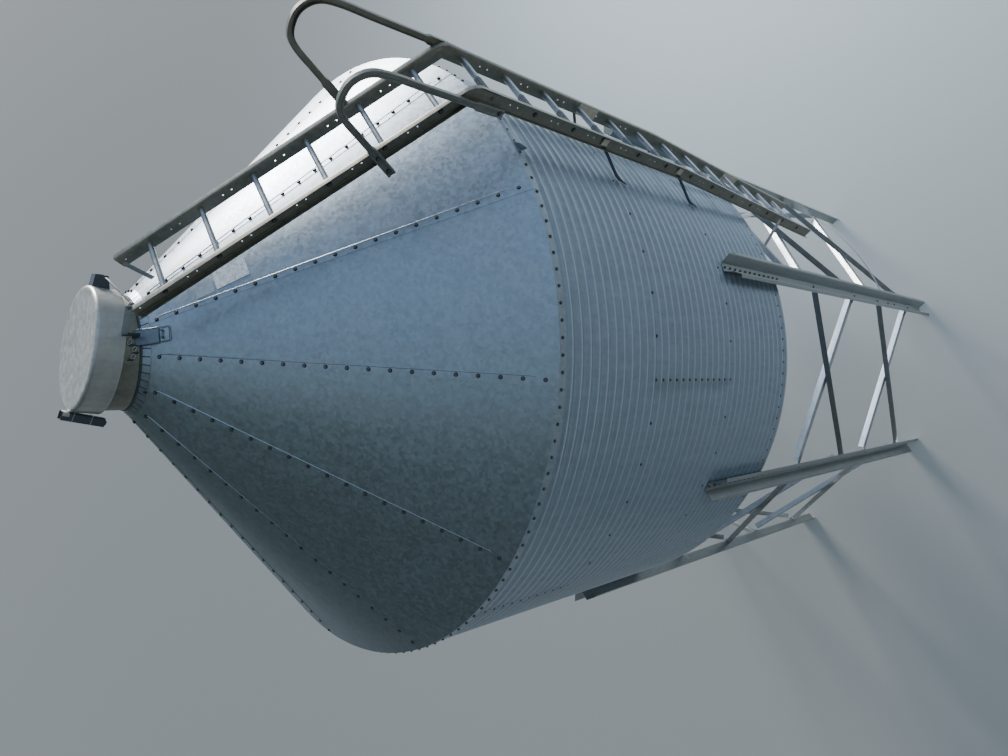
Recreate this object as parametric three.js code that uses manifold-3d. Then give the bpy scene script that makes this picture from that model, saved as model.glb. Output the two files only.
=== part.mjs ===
// Hopper-bottom grain silo: a corrugated bin of three rings under a 40 degree roof, with a steep
// hopper, eight channel legs with crossed braces, a ladder up one side and over the eave, and a
// hinged lid on the fill collar. Millimetres, +Z up, origin in the middle of the footprint on the
// ground. The ladder is on the -Y side.
import * as THREE from 'three';
import { mergeVertices } from 'three/addons/utils/BufferGeometryUtils.js';
import Module from 'manifold-3d';

const wasm = await Module();
wasm.setup();

// Bin
const EAVE_Z = 5850;
const WALL_R = 1829;
const WALL_T = 12.7;
const RING_H = 812.8;
const RING_COUNT = 3;
const FACET_DEG = 7.5;
const SIDES = 360 / FACET_DEG;
const SEAT = 0.3;
const RIM_Z = EAVE_Z - RING_COUNT * RING_H;
const LADDER_AZ = 270;

// Cutters, larger than anything that they cut, and the slip at each seam between sectors
const CUT_REACH = 2600;
const CUT_HEIGHT = 8000;
const SEAM_SLIP_DEG = 0.005;

// Roof
const ROOF_SLOPE = THREE.MathUtils.degToRad(40);
const ROOF_T = 10;
const LIP_REACH = 14;
const LIP_DROP = 45;
const PANEL_DEG = 30;
const RIB_OFFSET = 12;
const RIB_BASE = 13;
const RIB_SLANT = 3;
const RIB_ROOT = 3;
const RIB_H = 8;
const RIB_FOOT_R = 1771;
const RIB_HEAD_R = 345;

// Fill collar and lid
const COLLAR_R = 292;
const COLLAR_T = 8;
const COLLAR_BELOW = 34;
const COLLAR_TOP = EAVE_Z + 1465;
const FLANGE_R = 335;
const FLANGE_T = 7;
const LID_R = 317;
const LID_T = 5;
const LID_DEPTH = 130;
const LID_TOP = EAVE_Z + 1482;
const HINGE_AZ = 313;
const HINGE_R = 254;
const HINGE_Z = EAVE_Z + 1315;
const LID_TILT = THREE.MathUtils.degToRad(6.5);
const PIN_R = 7.3;
const PIN_TIP = 184;
const PIN_ROOT = 6;

// The lid's rounded edge, as steps in from its skirt and down from its face
const LID_EDGE_OUTER = [[0, 22], [6, 8], [25, 0]];
const LID_EDGE_INNER = [[29, 5], [8, 13], [5, 24]];

// The folded bracket on the lid, as points out from the skirt and down from the face
const BRACKET_OUTER = [[-4, 100], [62, 84], [58, 24], [-4, 10]];
const BRACKET_INNER = [[-20, 96], [56, 79], [52, 29], [-20, 15]];
const BRACKET_W = 74;
const BRACKET_SKIN = 4;
const BRACKET_OPEN = 40;
const ROD_R = 5;
const ROD_START = [48, 68];
const ROD_END = [9, 7];
const EYE_R = 15;
const EYE_HALF = 6;

// Latch bar
const LATCH_W = 60;
const LATCH_DEPTH = 45;
const LATCH_LENGTH = 205;
const LATCH_T = 5;
const LATCH_ABOVE = 22;
const LATCH_LEAN = THREE.MathUtils.degToRad(7);

// Hopper
const HOPPER_SLOPE = THREE.MathUtils.degToRad(60);
const HOPPER_T = 9;
const HOPPER_BAND = 80;
const OUTLET_R = 203;
const OUTLET_NECK = 60;
const OUTLET_FLANGE_R = 262;
const OUTLET_FLANGE_T = 8;

// Legs
const LEG_COUNT = 8;
const LEG_STEP = 360 / LEG_COUNT;
const LEG_AZ = LADDER_AZ + LEG_STEP / 2;
const LEG_TOP = EAVE_Z - 1660;
const LEG_WEB = 58;
const LEG_MOUTH = 124;
const LEG_DEPTH = 76;
const LEG_LIP = 28;
const LEG_T = 4;

// Braces
const BRACE_W = 48;
const BRACE_T = 4;
const BRACE_SPANS = [
  { name: 'upper', top: EAVE_Z - 3072, foot: EAVE_Z - 3945 },
  { name: 'lower', top: EAVE_Z - 4529, foot: EAVE_Z - 5425 },
];
const BRACE_TAB = 28;
const BRACE_PAST = 12;

// Ladder
const RAIL_H = 72;
const RAIL_T = 4;
const RAIL_FLANGE = 26;
const RAIL_INNER = 162;
const RAIL_OUTER = RAIL_INNER + RAIL_FLANGE + 2;
const RUNG_R = 14;
const RUNG_SIDES = 8;
const ROOF_RAIL_HEAD = [460, EAVE_Z + 1380];
const RAIL_KNEE = [1967, EAVE_Z + 321];
const SIDE_RAIL_BEND = [1959, EAVE_Z - 1400];
const SIDE_RAIL_FOOT = [1858, EAVE_Z - 3530];
const ROOF_RUNG_FIRST = 178;
const ROOF_RUNG_PITCH = 299;
const ROOF_RUNG_COUNT = 6;
const SIDE_RUNG_FIRST = EAVE_Z + 205;
const SIDE_RUNG_PITCH = 290;
const SIDE_RUNG_COUNT = 13;
const HEAD_PLATE_T = 5;
// Head plates, as points out from the bin's axis, across the ladder and up
const LEFT_PLATE = { height: 42, from: [500, 166, EAVE_Z + 1408], to: [301, 152, EAVE_Z + 1383] };
const LEFT_HANGER = { height: 24, top: EAVE_Z + 1390, foot: EAVE_Z + 1314, collar: [258, 130] };
const RIGHT_PLATE = { height: 24, from: [466, 164, EAVE_Z + 1366], to: [390, 158, EAVE_Z + 1150] };
const STANDOFFS = [
  { rail: EAVE_Z - 645, foot: EAVE_Z - 846 },
  { rail: EAVE_Z - 1399, foot: EAVE_Z - 1612 },
];
const STANDOFF_FOOT_DEG = 7.6;
const STANDOFF_W = 26;
const STANDOFF_T = 5;
const STANDOFF_FOOT = { t: 6, w: 60, h: 58 };

// Grab hoops over the eave, as points out from the bin's axis and up
const HOOP_POINTS = [
  [1488, 520], [1540, 612], [1612, 740], [1680, 858], [1736, 903], [1826, 905],
  [1893, 852], [1916, 760], [1919, 560], [1923, 330], [1926, 120],
];
// The right hoop is fixed further out and up than the left one
const RIGHT_HOOP_SHIFT = [53, 100];
const HOOP_W = 44;
const HOOP_D = 24;
const HOOP_STEPS = 44;

// Ties in the ladder bay
const TIE_Z = EAVE_Z - 2880;
const STRUT_SPREAD = 60;
const STRUT_T = 6;
const STRUT_H = 45;
const RING_BAR_Z = EAVE_Z - 4780;
const RING_BAR_H = 40;
const RING_BAR_T = 5;
const RING_BAR_PAST_DEG = 0.7;

const deg = THREE.MathUtils.degToRad;

// Colour, roughness and metalness of each finish
const finish = (color, roughness, metalness) =>
  new THREE.MeshStandardMaterial({ color, roughness, metalness });
const ROOF_STEEL = finish(0x9aa6b2, 0.45, 0.8);
const WALL_STEEL = finish(0x8d99a6, 0.42, 0.85);
const LEG_STEEL = finish(0x8b9298, 0.5, 0.8);
const BRACE_STEEL = finish(0x9097a0, 0.5, 0.8);
const LADDER_STEEL = finish(0x858a86, 0.5, 0.75);
const LID_STEEL = finish(0xa9a9a6, 0.5, 0.6);
const LATCH_STEEL = finish(0x3c4450, 0.6, 0.5);

// A point at a radius, an azimuth in degrees and a height
function polar(radius, azimuth, z) {
  return new THREE.Vector3(
    radius * Math.cos(deg(azimuth)), radius * Math.sin(deg(azimuth)), z);
}

// A three.js geometry as a solid
function solidOf(geometry) {
  const bare = geometry.clone();
  bare.deleteAttribute('normal');
  bare.deleteAttribute('uv');
  const merged = mergeVertices(bare, 1e-3);
  const index = Array.from(merged.index.array);
  const triVerts = [];
  for (let i = 0; i < index.length; i += 3) {
    const [a, b, c] = index.slice(i, i + 3);
    if (a !== b && b !== c && c !== a) triVerts.push(a, b, c);
  }
  const vertProperties = new Float32Array(merged.attributes.position.array);
  return new wasm.Manifold(
    new wasm.Mesh({ numProp: 3, vertProperties, triVerts: new Uint32Array(triVerts) }));
}

// A solid as a three.js geometry
function geometryOf(solid) {
  const mesh = solid.getMesh();
  const geometry = new THREE.BufferGeometry();
  geometry.setAttribute('position', new THREE.BufferAttribute(mesh.vertProperties, 3));
  geometry.setIndex(new THREE.BufferAttribute(mesh.triVerts, 1));
  geometry.computeVertexNormals();
  return geometry;
}

function union(solids) {
  return solids.reduce((all, one) => all.add(one));
}

// A closed outline of radius and height points turned once round the bin's axis
function turned(outline, sides = SIDES) {
  const points = outline.map(([r, z]) => new THREE.Vector2(r, z));
  if (THREE.ShapeUtils.area(points) < 0) points.reverse();
  points.push(points[0].clone());
  const geometry = new THREE.LatheGeometry(points, sides);
  geometry.rotateX(Math.PI / 2);
  return solidOf(geometry);
}

// A round plate or plug on the bin's axis between two heights
function disc(radius, bottom, top, sides = SIDES) {
  return turned([[0, bottom], [radius, bottom], [radius, top], [0, top]], sides);
}

function shapeOf(points) {
  return new THREE.Shape(points.map(([x, y]) => new THREE.Vector2(x, y)));
}

// An upright wedge of the whole bin between two azimuths, a seat short on each side
function wedge(from, to) {
  const steps = 4;
  const start = from + SEAM_SLIP_DEG;
  const sweep = to - from - 2 * SEAM_SLIP_DEG;
  const points = [[0, 0]];
  for (let k = 0; k <= steps; k += 1) {
    const rim = polar(CUT_REACH, start + (k / steps) * sweep, 0);
    points.push([rim.x, rim.y]);
  }
  return solidOf(new THREE.ExtrudeGeometry(
    shapeOf(points), { depth: CUT_HEIGHT, bevelEnabled: false }));
}

// A straight bar: its section is drawn in the x-y plane and swept from a to b, with the
// section's y axis towards up
function bar(section, a, b, up) {
  const along = new THREE.Vector3().subVectors(b, a);
  const length = along.length();
  along.normalize();
  const side = new THREE.Vector3().crossVectors(up, along).normalize();
  const top = new THREE.Vector3().crossVectors(along, side);
  const geometry = new THREE.ExtrudeGeometry(
    shapeOf(section), { depth: length, bevelEnabled: false });
  geometry.applyMatrix4(new THREE.Matrix4().makeBasis(side, top, along).setPosition(a));
  return solidOf(geometry);
}

function boxAt(width, depth, height, centre) {
  const geometry = new THREE.BoxGeometry(width, depth, height);
  geometry.translate(centre.x, centre.y, centre.z);
  return solidOf(geometry);
}

// Turns a solid about the vertical
function spun(solid, azimuth) {
  return solid.rotate([0, 0, azimuth]);
}

const silo = new THREE.Group();

function place(parent, name, solid, material) {
  const mesh = new THREE.Mesh(geometryOf(solid), material);
  mesh.name = name;
  parent.add(mesh);
  return mesh;
}

// Wall: each ring is four sheets of 90 degrees, and ring 2 is staggered by half a sheet
function wallRing(ring) {
  const top = ring === 1
    ? EAVE_Z - ROOF_T - SEAT
    : EAVE_Z - (ring - 1) * RING_H - SEAT;
  const bottom = EAVE_Z - ring * RING_H;
  const inner = WALL_R - WALL_T;
  const whole = turned([[WALL_R, bottom], [WALL_R, top], [inner, top], [inner, bottom]]);
  const first = ring === 2 ? 45 : 0;
  for (let k = 0; k < 4; k += 1) {
    const from = first + 90 * k;
    place(silo, `wall_ring${ring}_sheet${k + 1}`, whole.intersect(wedge(from, from + 90)), WALL_STEEL);
  }
}

// Height of the roof's upper face at a radius
function roofZ(radius) {
  return EAVE_Z + (WALL_R - radius) * Math.tan(ROOF_SLOPE);
}

function roofShell() {
  const hole = COLLAR_R + SEAT;
  const lip = WALL_R + LIP_REACH;
  const inside = WALL_R + SEAT;
  return turned([
    [hole, roofZ(hole)],
    [hole, roofZ(hole) - ROOF_T],
    [inside, roofZ(inside) - ROOF_T],
    [inside, EAVE_Z - LIP_DROP],
    [lip, EAVE_Z - LIP_DROP],
    [lip, roofZ(lip)],
  ]);
}

// A lap rib stands on its panel beside the seam at its azimuth
function roofRib(azimuth) {
  const far = RIB_OFFSET + RIB_BASE;
  const section = [
    [RIB_OFFSET, -RIB_ROOT], [far, -RIB_ROOT],
    [far - RIB_SLANT, RIB_H], [RIB_OFFSET + RIB_SLANT, RIB_H],
  ];
  const foot = polar(RIB_FOOT_R, azimuth, roofZ(RIB_FOOT_R));
  const head = polar(RIB_HEAD_R, azimuth, roofZ(RIB_HEAD_R));
  const up = new THREE.Vector3(0, 0, 1);
  return bar(section, head, foot, up);
}

// Roof: six sectors, each of two panels with the lap rib of each one's seam
function roof() {
  const whole = roofShell();
  for (let k = 0; k < 6; k += 1) {
    const from = LADDER_AZ - PANEL_DEG / 2 + 2 * PANEL_DEG * k;
    const sector = union([whole, roofRib(from), roofRib(from + PANEL_DEG)])
      .intersect(wedge(from, from + 2 * PANEL_DEG));
    place(silo, `roof_sector_${k + 1}`, sector, ROOF_STEEL);
  }
}

// Hopper: four sectors with an upright band inside the wall's rim, and the outlet below
function hopper() {
  const outer = WALL_R - WALL_T - SEAT;
  const slant = HOPPER_T / Math.sin(HOPPER_SLOPE);
  const bottom = RIM_Z - (outer - OUTLET_R) * Math.tan(HOPPER_SLOPE);
  const whole = turned([
    [outer, RIM_Z + HOPPER_BAND],
    [outer - HOPPER_T, RIM_Z + HOPPER_BAND],
    [outer - slant, RIM_Z],
    [OUTLET_R - slant, bottom],
    [OUTLET_R, bottom],
    [outer, RIM_Z],
  ]);
  for (let k = 0; k < 4; k += 1) {
    const from = 45 + 90 * k;
    place(silo, `hopper_sector_${k + 1}`, whole.intersect(wedge(from, from + 90)), WALL_STEEL);
  }
  const seat = bottom - SEAT;
  const outlet = turned([
    [OUTLET_R, seat],
    [OUTLET_R, seat - OUTLET_NECK],
    [OUTLET_FLANGE_R, seat - OUTLET_NECK],
    [OUTLET_FLANGE_R, seat - OUTLET_NECK - OUTLET_FLANGE_T],
    [OUTLET_R - HOPPER_T, seat - OUTLET_NECK - OUTLET_FLANGE_T],
    [OUTLET_R - HOPPER_T, seat],
  ]);
  place(silo, 'outlet_collar', outlet, LEG_STEEL);
}

// Fill collar: a short neck with a bolted flange on the roof and a hinge pin on each side
function fillCollar() {
  const rise = SEAT / Math.cos(ROOF_SLOPE);
  const foot = roofZ(COLLAR_R) - COLLAR_BELOW;
  const neck = turned([
    [COLLAR_R, COLLAR_TOP],
    [COLLAR_R - COLLAR_T, COLLAR_TOP],
    [COLLAR_R - COLLAR_T, foot],
    [COLLAR_R, foot],
    [COLLAR_R, roofZ(COLLAR_R) + rise],
    [FLANGE_R, roofZ(FLANGE_R) + rise],
    [FLANGE_R, roofZ(FLANGE_R) + rise + FLANGE_T],
    [COLLAR_R, roofZ(COLLAR_R) + rise + FLANGE_T],
  ]);
  const chord = Math.sqrt(COLLAR_R ** 2 - HINGE_R ** 2);
  const pins = [-1, 1].map((side) => {
    const length = PIN_TIP - chord + PIN_ROOT;
    const pin = new THREE.CylinderGeometry(PIN_R, PIN_R, length, 16);
    pin.translate(HINGE_R, side * (PIN_TIP - length / 2), HINGE_Z);
    return spun(solidOf(pin), HINGE_AZ);
  });
  place(silo, 'fill_collar', union([neck, ...pins]), ROOF_STEEL);
}

// Lid, drawn shut with the hinge towards +X and the hinge axis as its origin
function lid() {
  const hinge = new THREE.Group();
  hinge.position.copy(polar(HINGE_R, HINGE_AZ, HINGE_Z));
  hinge.rotation.set(0, LID_TILT, deg(HINGE_AZ), 'ZYX');
  silo.add(hinge);
  const top = LID_TOP - HINGE_Z;
  const edge = (steps) => steps.map(([inset, drop]) => [LID_R - inset, top - drop]);
  const shell = turned([
    [0, top],
    [0, top - LID_T],
    ...edge(LID_EDGE_INNER),
    [LID_R - LID_T, top - LID_DEPTH],
    [LID_R, top - LID_DEPTH],
    ...edge(LID_EDGE_OUTER),
  ]).translate([-HINGE_R, 0, 0]);
  place(hinge, 'lid', union([shell, ...lidBracket(top)]), LID_STEEL);
  place(hinge, 'lid_latch_bar', latchBar(top), LATCH_STEEL);
}

// A folded bracket on the lid's edge, with a rod from it to the pin on each side
function lidBracket(top) {
  const edge = LID_R - HINGE_R;
  const slab = (steps, drop, width) => {
    const outline = steps.map(([out, down]) => [edge + out, top - down - drop]);
    const geometry = new THREE.ExtrudeGeometry(
      shapeOf(outline), { depth: width, bevelEnabled: false });
    geometry.translate(0, 0, -width / 2);
    geometry.rotateX(Math.PI / 2);
    return solidOf(geometry);
  };
  const inside = BRACKET_W - 2 * BRACKET_SKIN;
  const hollow = slab(BRACKET_INNER, 0, inside).add(slab(BRACKET_INNER, BRACKET_OPEN, inside));
  const lidSpace = disc(LID_R - LID_T / 2, top - 2 * LID_DEPTH, top).translate([-HINGE_R, 0, 0]);
  const bracket = slab(BRACKET_OUTER, 0, BRACKET_W).subtract(hollow).subtract(lidSpace);
  return [bracket, bracketRod(-1, edge, top), bracketRod(1, edge, top)];
}

// A rod from the bracket to its eye, which turns on the collar's pin
function bracketRod(hand, edge, top) {
  const eyeY = hand * (PIN_TIP - EYE_HALF - BRACKET_SKIN);
  const from = new THREE.Vector3(
    edge + ROD_START[0], hand * (BRACKET_W - BRACKET_SKIN) / 2, top - ROD_START[1]);
  const to = new THREE.Vector3(ROD_END[0], eyeY, ROD_END[1]);
  const rod = bar(circle(ROD_R, 8), from, to, new THREE.Vector3(0, 0, 1));
  const across = (solid) => solid.rotate([90, 0, 0]).translate([0, eyeY, 0]);
  const eye = across(disc(EYE_R, -EYE_HALF, EYE_HALF, 16));
  const bore = across(disc(PIN_R + SEAT, -2 * EYE_HALF, 2 * EYE_HALF, 16));
  return union([rod, eye]).subtract(bore);
}

// The latch bar, a channel open outwards, leans on the lid's edge opposite the hinge
function latchBar(top) {
  const half = LATCH_W / 2;
  const section = [
    [-half, 0], [half, 0], [half, LATCH_DEPTH], [half - LATCH_T, LATCH_DEPTH],
    [half - LATCH_T, LATCH_T], [-half + LATCH_T, LATCH_T], [-half + LATCH_T, LATCH_DEPTH],
    [-half, LATCH_DEPTH],
  ];
  const toEdge = LATCH_ABOVE + LID_EDGE_OUTER[0][1];
  const start = -HINGE_R - LID_R - SEAT + toEdge * Math.tan(LATCH_LEAN);
  const from = new THREE.Vector3(start, 0, top + LATCH_ABOVE);
  const run = new THREE.Vector3(-Math.sin(LATCH_LEAN), 0, -Math.cos(LATCH_LEAN));
  const to = from.clone().addScaledVector(run, LATCH_LENGTH);
  return bar(section, from, to, new THREE.Vector3(-1, 0, 0));
}

// Outline of a flat bar's section
function oblong(width, height) {
  const [w, h] = [width / 2, height / 2];
  return [[-w, -h], [w, -h], [w, h], [-w, h]];
}

// Outline of a regular polygon
function circle(radius, sides) {
  return Array.from({ length: sides }, (_, k) => {
    const a = (2 * Math.PI * k) / sides;
    return [radius * Math.cos(a), radius * Math.sin(a)];
  });
}

// The outline of a sheet of even thickness folded along a line
function folded(line, thickness) {
  const points = line.map(([x, y]) => new THREE.Vector2(x, y));
  const normals = points.slice(1).map((point, k) => {
    const along = point.clone().sub(points[k]).normalize();
    return new THREE.Vector2(-along.y, along.x);
  });
  const offsets = points.map((_, k) => {
    const before = normals[Math.max(k - 1, 0)];
    const after = normals[Math.min(k, normals.length - 1)];
    const mitre = before.clone().add(after).normalize();
    return mitre.multiplyScalar(thickness / 2 / mitre.dot(after));
  });
  const left = points.map((point, k) => point.clone().add(offsets[k]).toArray());
  const right = points.map((point, k) => point.clone().sub(offsets[k]).toArray());
  return [...right, ...left.reverse()];
}

// Legs: a flared channel, its web on the wall and its flanges outwards, with a lip folded back
// square to the edge of each flange
function leg(index) {
  const web = new THREE.Vector2(LEG_T / 2, LEG_WEB / 2);
  const mouth = new THREE.Vector2(LEG_DEPTH - LEG_T / 2, LEG_MOUTH / 2);
  const flange = mouth.clone().sub(web).normalize();
  const lip = new THREE.Vector2(-flange.y, flange.x).multiplyScalar(LEG_LIP).add(mouth);
  const half = [lip, mouth, web].map((point) => point.toArray());
  const line = [...half, ...half.map(([x, y]) => [x, -y]).reverse()];
  const geometry = new THREE.ExtrudeGeometry(
    shapeOf(folded(line, LEG_T).reverse()), { depth: LEG_TOP, bevelEnabled: false });
  const azimuth = LEG_AZ + LEG_STEP * index;
  const mesh = place(silo, `leg_${index + 1}`, solidOf(geometry), LEG_STEEL);
  mesh.position.copy(polar(WALL_R + SEAT, azimuth, 0));
  mesh.rotation.z = deg(azimuth);
}

// An angle bar across one bay, drawn in the bay's own frame with +X out through its middle. Its
// flange is at its upper edge, inwards or outwards. Each end has a flat tab on the inside of the
// leg's web and is trimmed at the middle of that web.
function bayBar(side, startZ, endZ, flangeOut = false) {
  const half = LEG_STEP / 2;
  const start = polar(WALL_R, side * half, startZ);
  const end = polar(WALL_R, -side * half, endZ);
  const past = new THREE.Vector3().subVectors(end, start).setLength(BRACE_PAST);
  const edge = BRACE_W / 2;
  const outline = flangeOut
    ? [
      [-edge, 0], [edge - BRACE_T, 0], [edge - BRACE_T, BRACE_T - BRACE_W],
      [edge, BRACE_T - BRACE_W], [edge, BRACE_T], [-edge, BRACE_T],
    ]
    : [
      [-edge, 0], [edge, 0], [edge, BRACE_T],
      [-edge + BRACE_T, BRACE_T], [-edge + BRACE_T, BRACE_W], [-edge, BRACE_W],
    ];
  const beam = bar(outline, start.clone().sub(past), end.clone().add(past),
    new THREE.Vector3(-1, 0, 0));
  const low = Math.min(startZ, endZ) - BRACE_W;
  const high = Math.max(startZ, endZ) + BRACE_W;
  const inside = beam.intersect(disc(WALL_R, low, high));
  return union([inside, braceTab(side, startZ), braceTab(-side, endZ)])
    .intersect(wedge(-half, half));
}

function braceTab(side, z) {
  const middle = new THREE.Vector3(-BRACE_T / 2, -side * BRACE_TAB / 2, 0);
  return boxAt(BRACE_T, BRACE_TAB, BRACE_W, middle)
    .rotate([0, 0, side * LEG_STEP / 2])
    .translate(polar(WALL_R, side * LEG_STEP / 2, z).toArray());
}

// Braces: two angle bars crossed between neighbouring legs
function braceCross(index, span) {
  const cross = bayBar(1, span.top, span.foot, true).add(bayBar(-1, span.top, span.foot));
  const mesh = place(silo, `brace_${span.name}_${index + 1}`, cross, BRACE_STEEL);
  mesh.rotation.z = deg(LEG_AZ + LEG_STEP * (index + 0.5));
}

// The ladder's frame: x out from the bin's axis, y across the ladder, z up
const ladder = new THREE.Group();
ladder.rotation.z = deg(LADDER_AZ);
silo.add(ladder);

const flat = ([rho, z], y = 0) => new THREE.Vector3(rho, y, z);

// One rail of channel section between two points of the ladder's middle plane
function rail(side, a, b) {
  const web = side * RAIL_INNER;
  const out = side * (RAIL_INNER + RAIL_T);
  const tip = side * RAIL_OUTER;
  const h = RAIL_H / 2;
  const section = [
    [web, -h], [tip, -h], [tip, -h + RAIL_T], [out, -h + RAIL_T],
    [out, h - RAIL_T], [tip, h - RAIL_T], [tip, h], [web, h],
  ];
  const shape = side > 0 ? section : section.reverse();
  const along = new THREE.Vector3().subVectors(flat(b), flat(a)).normalize();
  const outward = new THREE.Vector3(0, 1, 0).cross(along).normalize();
  return bar(shape.map(([y, x]) => [y, x]), flat(a), flat(b), outward);
}

function rung([rho, z]) {
  const geometry = new THREE.CylinderGeometry(
    RUNG_R, RUNG_R, 2 * RAIL_INNER + RAIL_T, RUNG_SIDES);
  geometry.translate(rho, 0, z);
  return solidOf(geometry);
}

// A point part of the way from a to b
function between(a, b, share) {
  return [a[0] + (b[0] - a[0]) * share, a[1] + (b[1] - a[1]) * share];
}

// Half of space, as a large box, on one side of the mitre between the two ladders
function mitreSide(sign) {
  const roofRun = new THREE.Vector2(
    RAIL_KNEE[0] - ROOF_RAIL_HEAD[0], RAIL_KNEE[1] - ROOF_RAIL_HEAD[1]).normalize();
  const sideRun = new THREE.Vector2(
    SIDE_RAIL_BEND[0] - RAIL_KNEE[0], SIDE_RAIL_BEND[1] - RAIL_KNEE[1]).normalize();
  const normal = roofRun.add(sideRun).normalize();
  const size = 6000;
  const box = new THREE.BoxGeometry(size, 2000, size);
  box.translate(sign * (size / 2 - SEAT / 2), 0, 0);
  box.rotateY(-Math.atan2(normal.y, normal.x));
  box.translate(RAIL_KNEE[0], 0, RAIL_KNEE[1]);
  return solidOf(box);
}

function railRun(a, b) {
  return [rail(-1, a, b), rail(1, a, b)];
}

// Roof ladder: rails that run past the knee and are mitred there, rungs and head plates
function roofLadder() {
  const past = between(ROOF_RAIL_HEAD, RAIL_KNEE, 1.06);
  const rails = railRun(ROOF_RAIL_HEAD, past);
  const length = Math.hypot(
    RAIL_KNEE[0] - ROOF_RAIL_HEAD[0], RAIL_KNEE[1] - ROOF_RAIL_HEAD[1]);
  const rungs = [];
  for (let k = 0; k < ROOF_RUNG_COUNT; k += 1) {
    const share = (ROOF_RUNG_FIRST + k * ROOF_RUNG_PITCH) / length;
    rungs.push(rung(between(ROOF_RAIL_HEAD, RAIL_KNEE, share)));
  }
  const plates = [-1, 1].map(headPlate);
  const solid = union([...rails, ...rungs]).subtract(mitreSide(1)).add(union(plates));
  place(ladder, 'roof_ladder', solid, LADDER_STEEL);
}

// Head plates: on the left a strip from the rail's head towards the fill collar, with a hanger
// below the lid's skirt to the collar's side; on the right a strip down to the roof
function headPlate(side) {
  const up = new THREE.Vector3(0, 0, 1);
  const at = ([rho, y, z]) => flat([rho, z], side * y);
  const plate = side < 0 ? LEFT_PLATE : RIGHT_PLATE;
  const across = side < 0 ? up : new THREE.Vector3(1, 0, 0);
  const parts = [bar(oblong(HEAD_PLATE_T, plate.height), at(plate.from), at(plate.to), across)];
  if (side < 0) {
    const { height, top, foot, collar } = LEFT_HANGER;
    const [rho, y] = LEFT_PLATE.to;
    const turnIn = foot + height / 2;
    const outward = new THREE.Vector3(1, 0, 0);
    parts.push(
      bar(oblong(HEAD_PLATE_T, height), at([rho, y, top]), at([rho, y, foot]), outward),
      bar(oblong(HEAD_PLATE_T, height), at([rho, y, turnIn]), at([...collar, turnIn]), up));
  }
  const strip = union(parts);
  const clear = 2 * SEAT;
  const plateTop = FLANGE_T + 1 + clear;
  const keepOut = turned([
    [0, roofZ(WALL_R / 2)],
    [WALL_R / 2, roofZ(WALL_R / 2) + clear],
    [FLANGE_R + clear, roofZ(FLANGE_R) + clear],
    [FLANGE_R + clear, roofZ(FLANGE_R) + plateTop],
    [COLLAR_R + clear, roofZ(COLLAR_R) + plateTop],
    [COLLAR_R + clear, COLLAR_TOP],
    [0, COLLAR_TOP],
  ]);
  return strip.subtract(keepOut);
}

// Side ladder: rails in two straight runs, rungs, splice plates, stand-offs and lower struts
function sideLadder() {
  const above = between(SIDE_RAIL_BEND, RAIL_KNEE, 1.04);
  const pieces = [...railRun(above, SIDE_RAIL_BEND), ...railRun(SIDE_RAIL_BEND, SIDE_RAIL_FOOT)];
  for (let k = 0; k < SIDE_RUNG_COUNT; k += 1) {
    pieces.push(rung([sideRailRho(SIDE_RUNG_FIRST - k * SIDE_RUNG_PITCH),
      SIDE_RUNG_FIRST - k * SIDE_RUNG_PITCH]));
  }
  const trimmed = union(pieces).subtract(mitreSide(-1));
  const stays = [];
  for (const side of [-1, 1]) {
    for (const stay of STANDOFFS) stays.push(standoff(side, stay));
  }
  place(ladder, 'side_ladder', union([trimmed, ...stays]), LADDER_STEEL);
}

// Middle of the side rails at a height
function sideRailRho(z) {
  const [a, b] = z > SIDE_RAIL_BEND[1]
    ? [RAIL_KNEE, SIDE_RAIL_BEND]
    : [SIDE_RAIL_BEND, SIDE_RAIL_FOOT];
  return between(a, b, (z - a[1]) / (b[1] - a[1]))[0];
}

// A stand-off strap from a rail down to a foot on the wall
function standoff(side, stay) {
  const footY = side * WALL_R * Math.sin(deg(STANDOFF_FOOT_DEG));
  const footX = WALL_R * Math.cos(deg(STANDOFF_FOOT_DEG)) - STANDOFF_T;
  const railX = sideRailRho(stay.rail) - RAIL_H / 4;
  const up = STANDOFF_W / 2;
  const a = new THREE.Vector3(
    railX, side * (RAIL_INNER + RAIL_T + STANDOFF_T / 2 - 0.5), stay.rail + up);
  const b = new THREE.Vector3(footX, footY, stay.foot + up);
  const strap = bar(oblong(STANDOFF_T, STANDOFF_W), a, b, new THREE.Vector3(0, 0, 1));
  const foot = boxAt(STANDOFF_FOOT.t, STANDOFF_FOOT.w, STANDOFF_FOOT.h,
    new THREE.Vector3(WALL_R + STANDOFF_FOOT.t / 2, 0, stay.foot + up));
  const wall = disc(WALL_R + SEAT, stay.foot - CUT_REACH / 8, stay.foot + CUT_REACH / 8);
  return foot.rotate([0, 0, side * STANDOFF_FOOT_DEG]).add(strap).subtract(wall);
}

// Grab hoops: one bent bar outside each rail, over the eave
function hoop(side) {
  const y = side * (RAIL_OUTER + HOOP_D / 2 + SEAT);
  const [outBy, upBy] = side < 0 ? [0, 0] : RIGHT_HOOP_SHIFT;
  const points = HOOP_POINTS.map(
    ([rho, z]) => new THREE.Vector3(rho + outBy, y, EAVE_Z + z + upBy));
  const path = new THREE.CatmullRomCurve3(points, false, 'centripetal');
  const geometry = new THREE.ExtrudeGeometry(
    shapeOf(oblong(HOOP_D, HOOP_W)),
    { steps: HOOP_STEPS, extrudePath: path, bevelEnabled: false });
  const name = side < 0 ? 'grab_hoop_left' : 'grab_hoop_right';
  place(ladder, name, solidOf(geometry), LADDER_STEEL);
}

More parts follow.
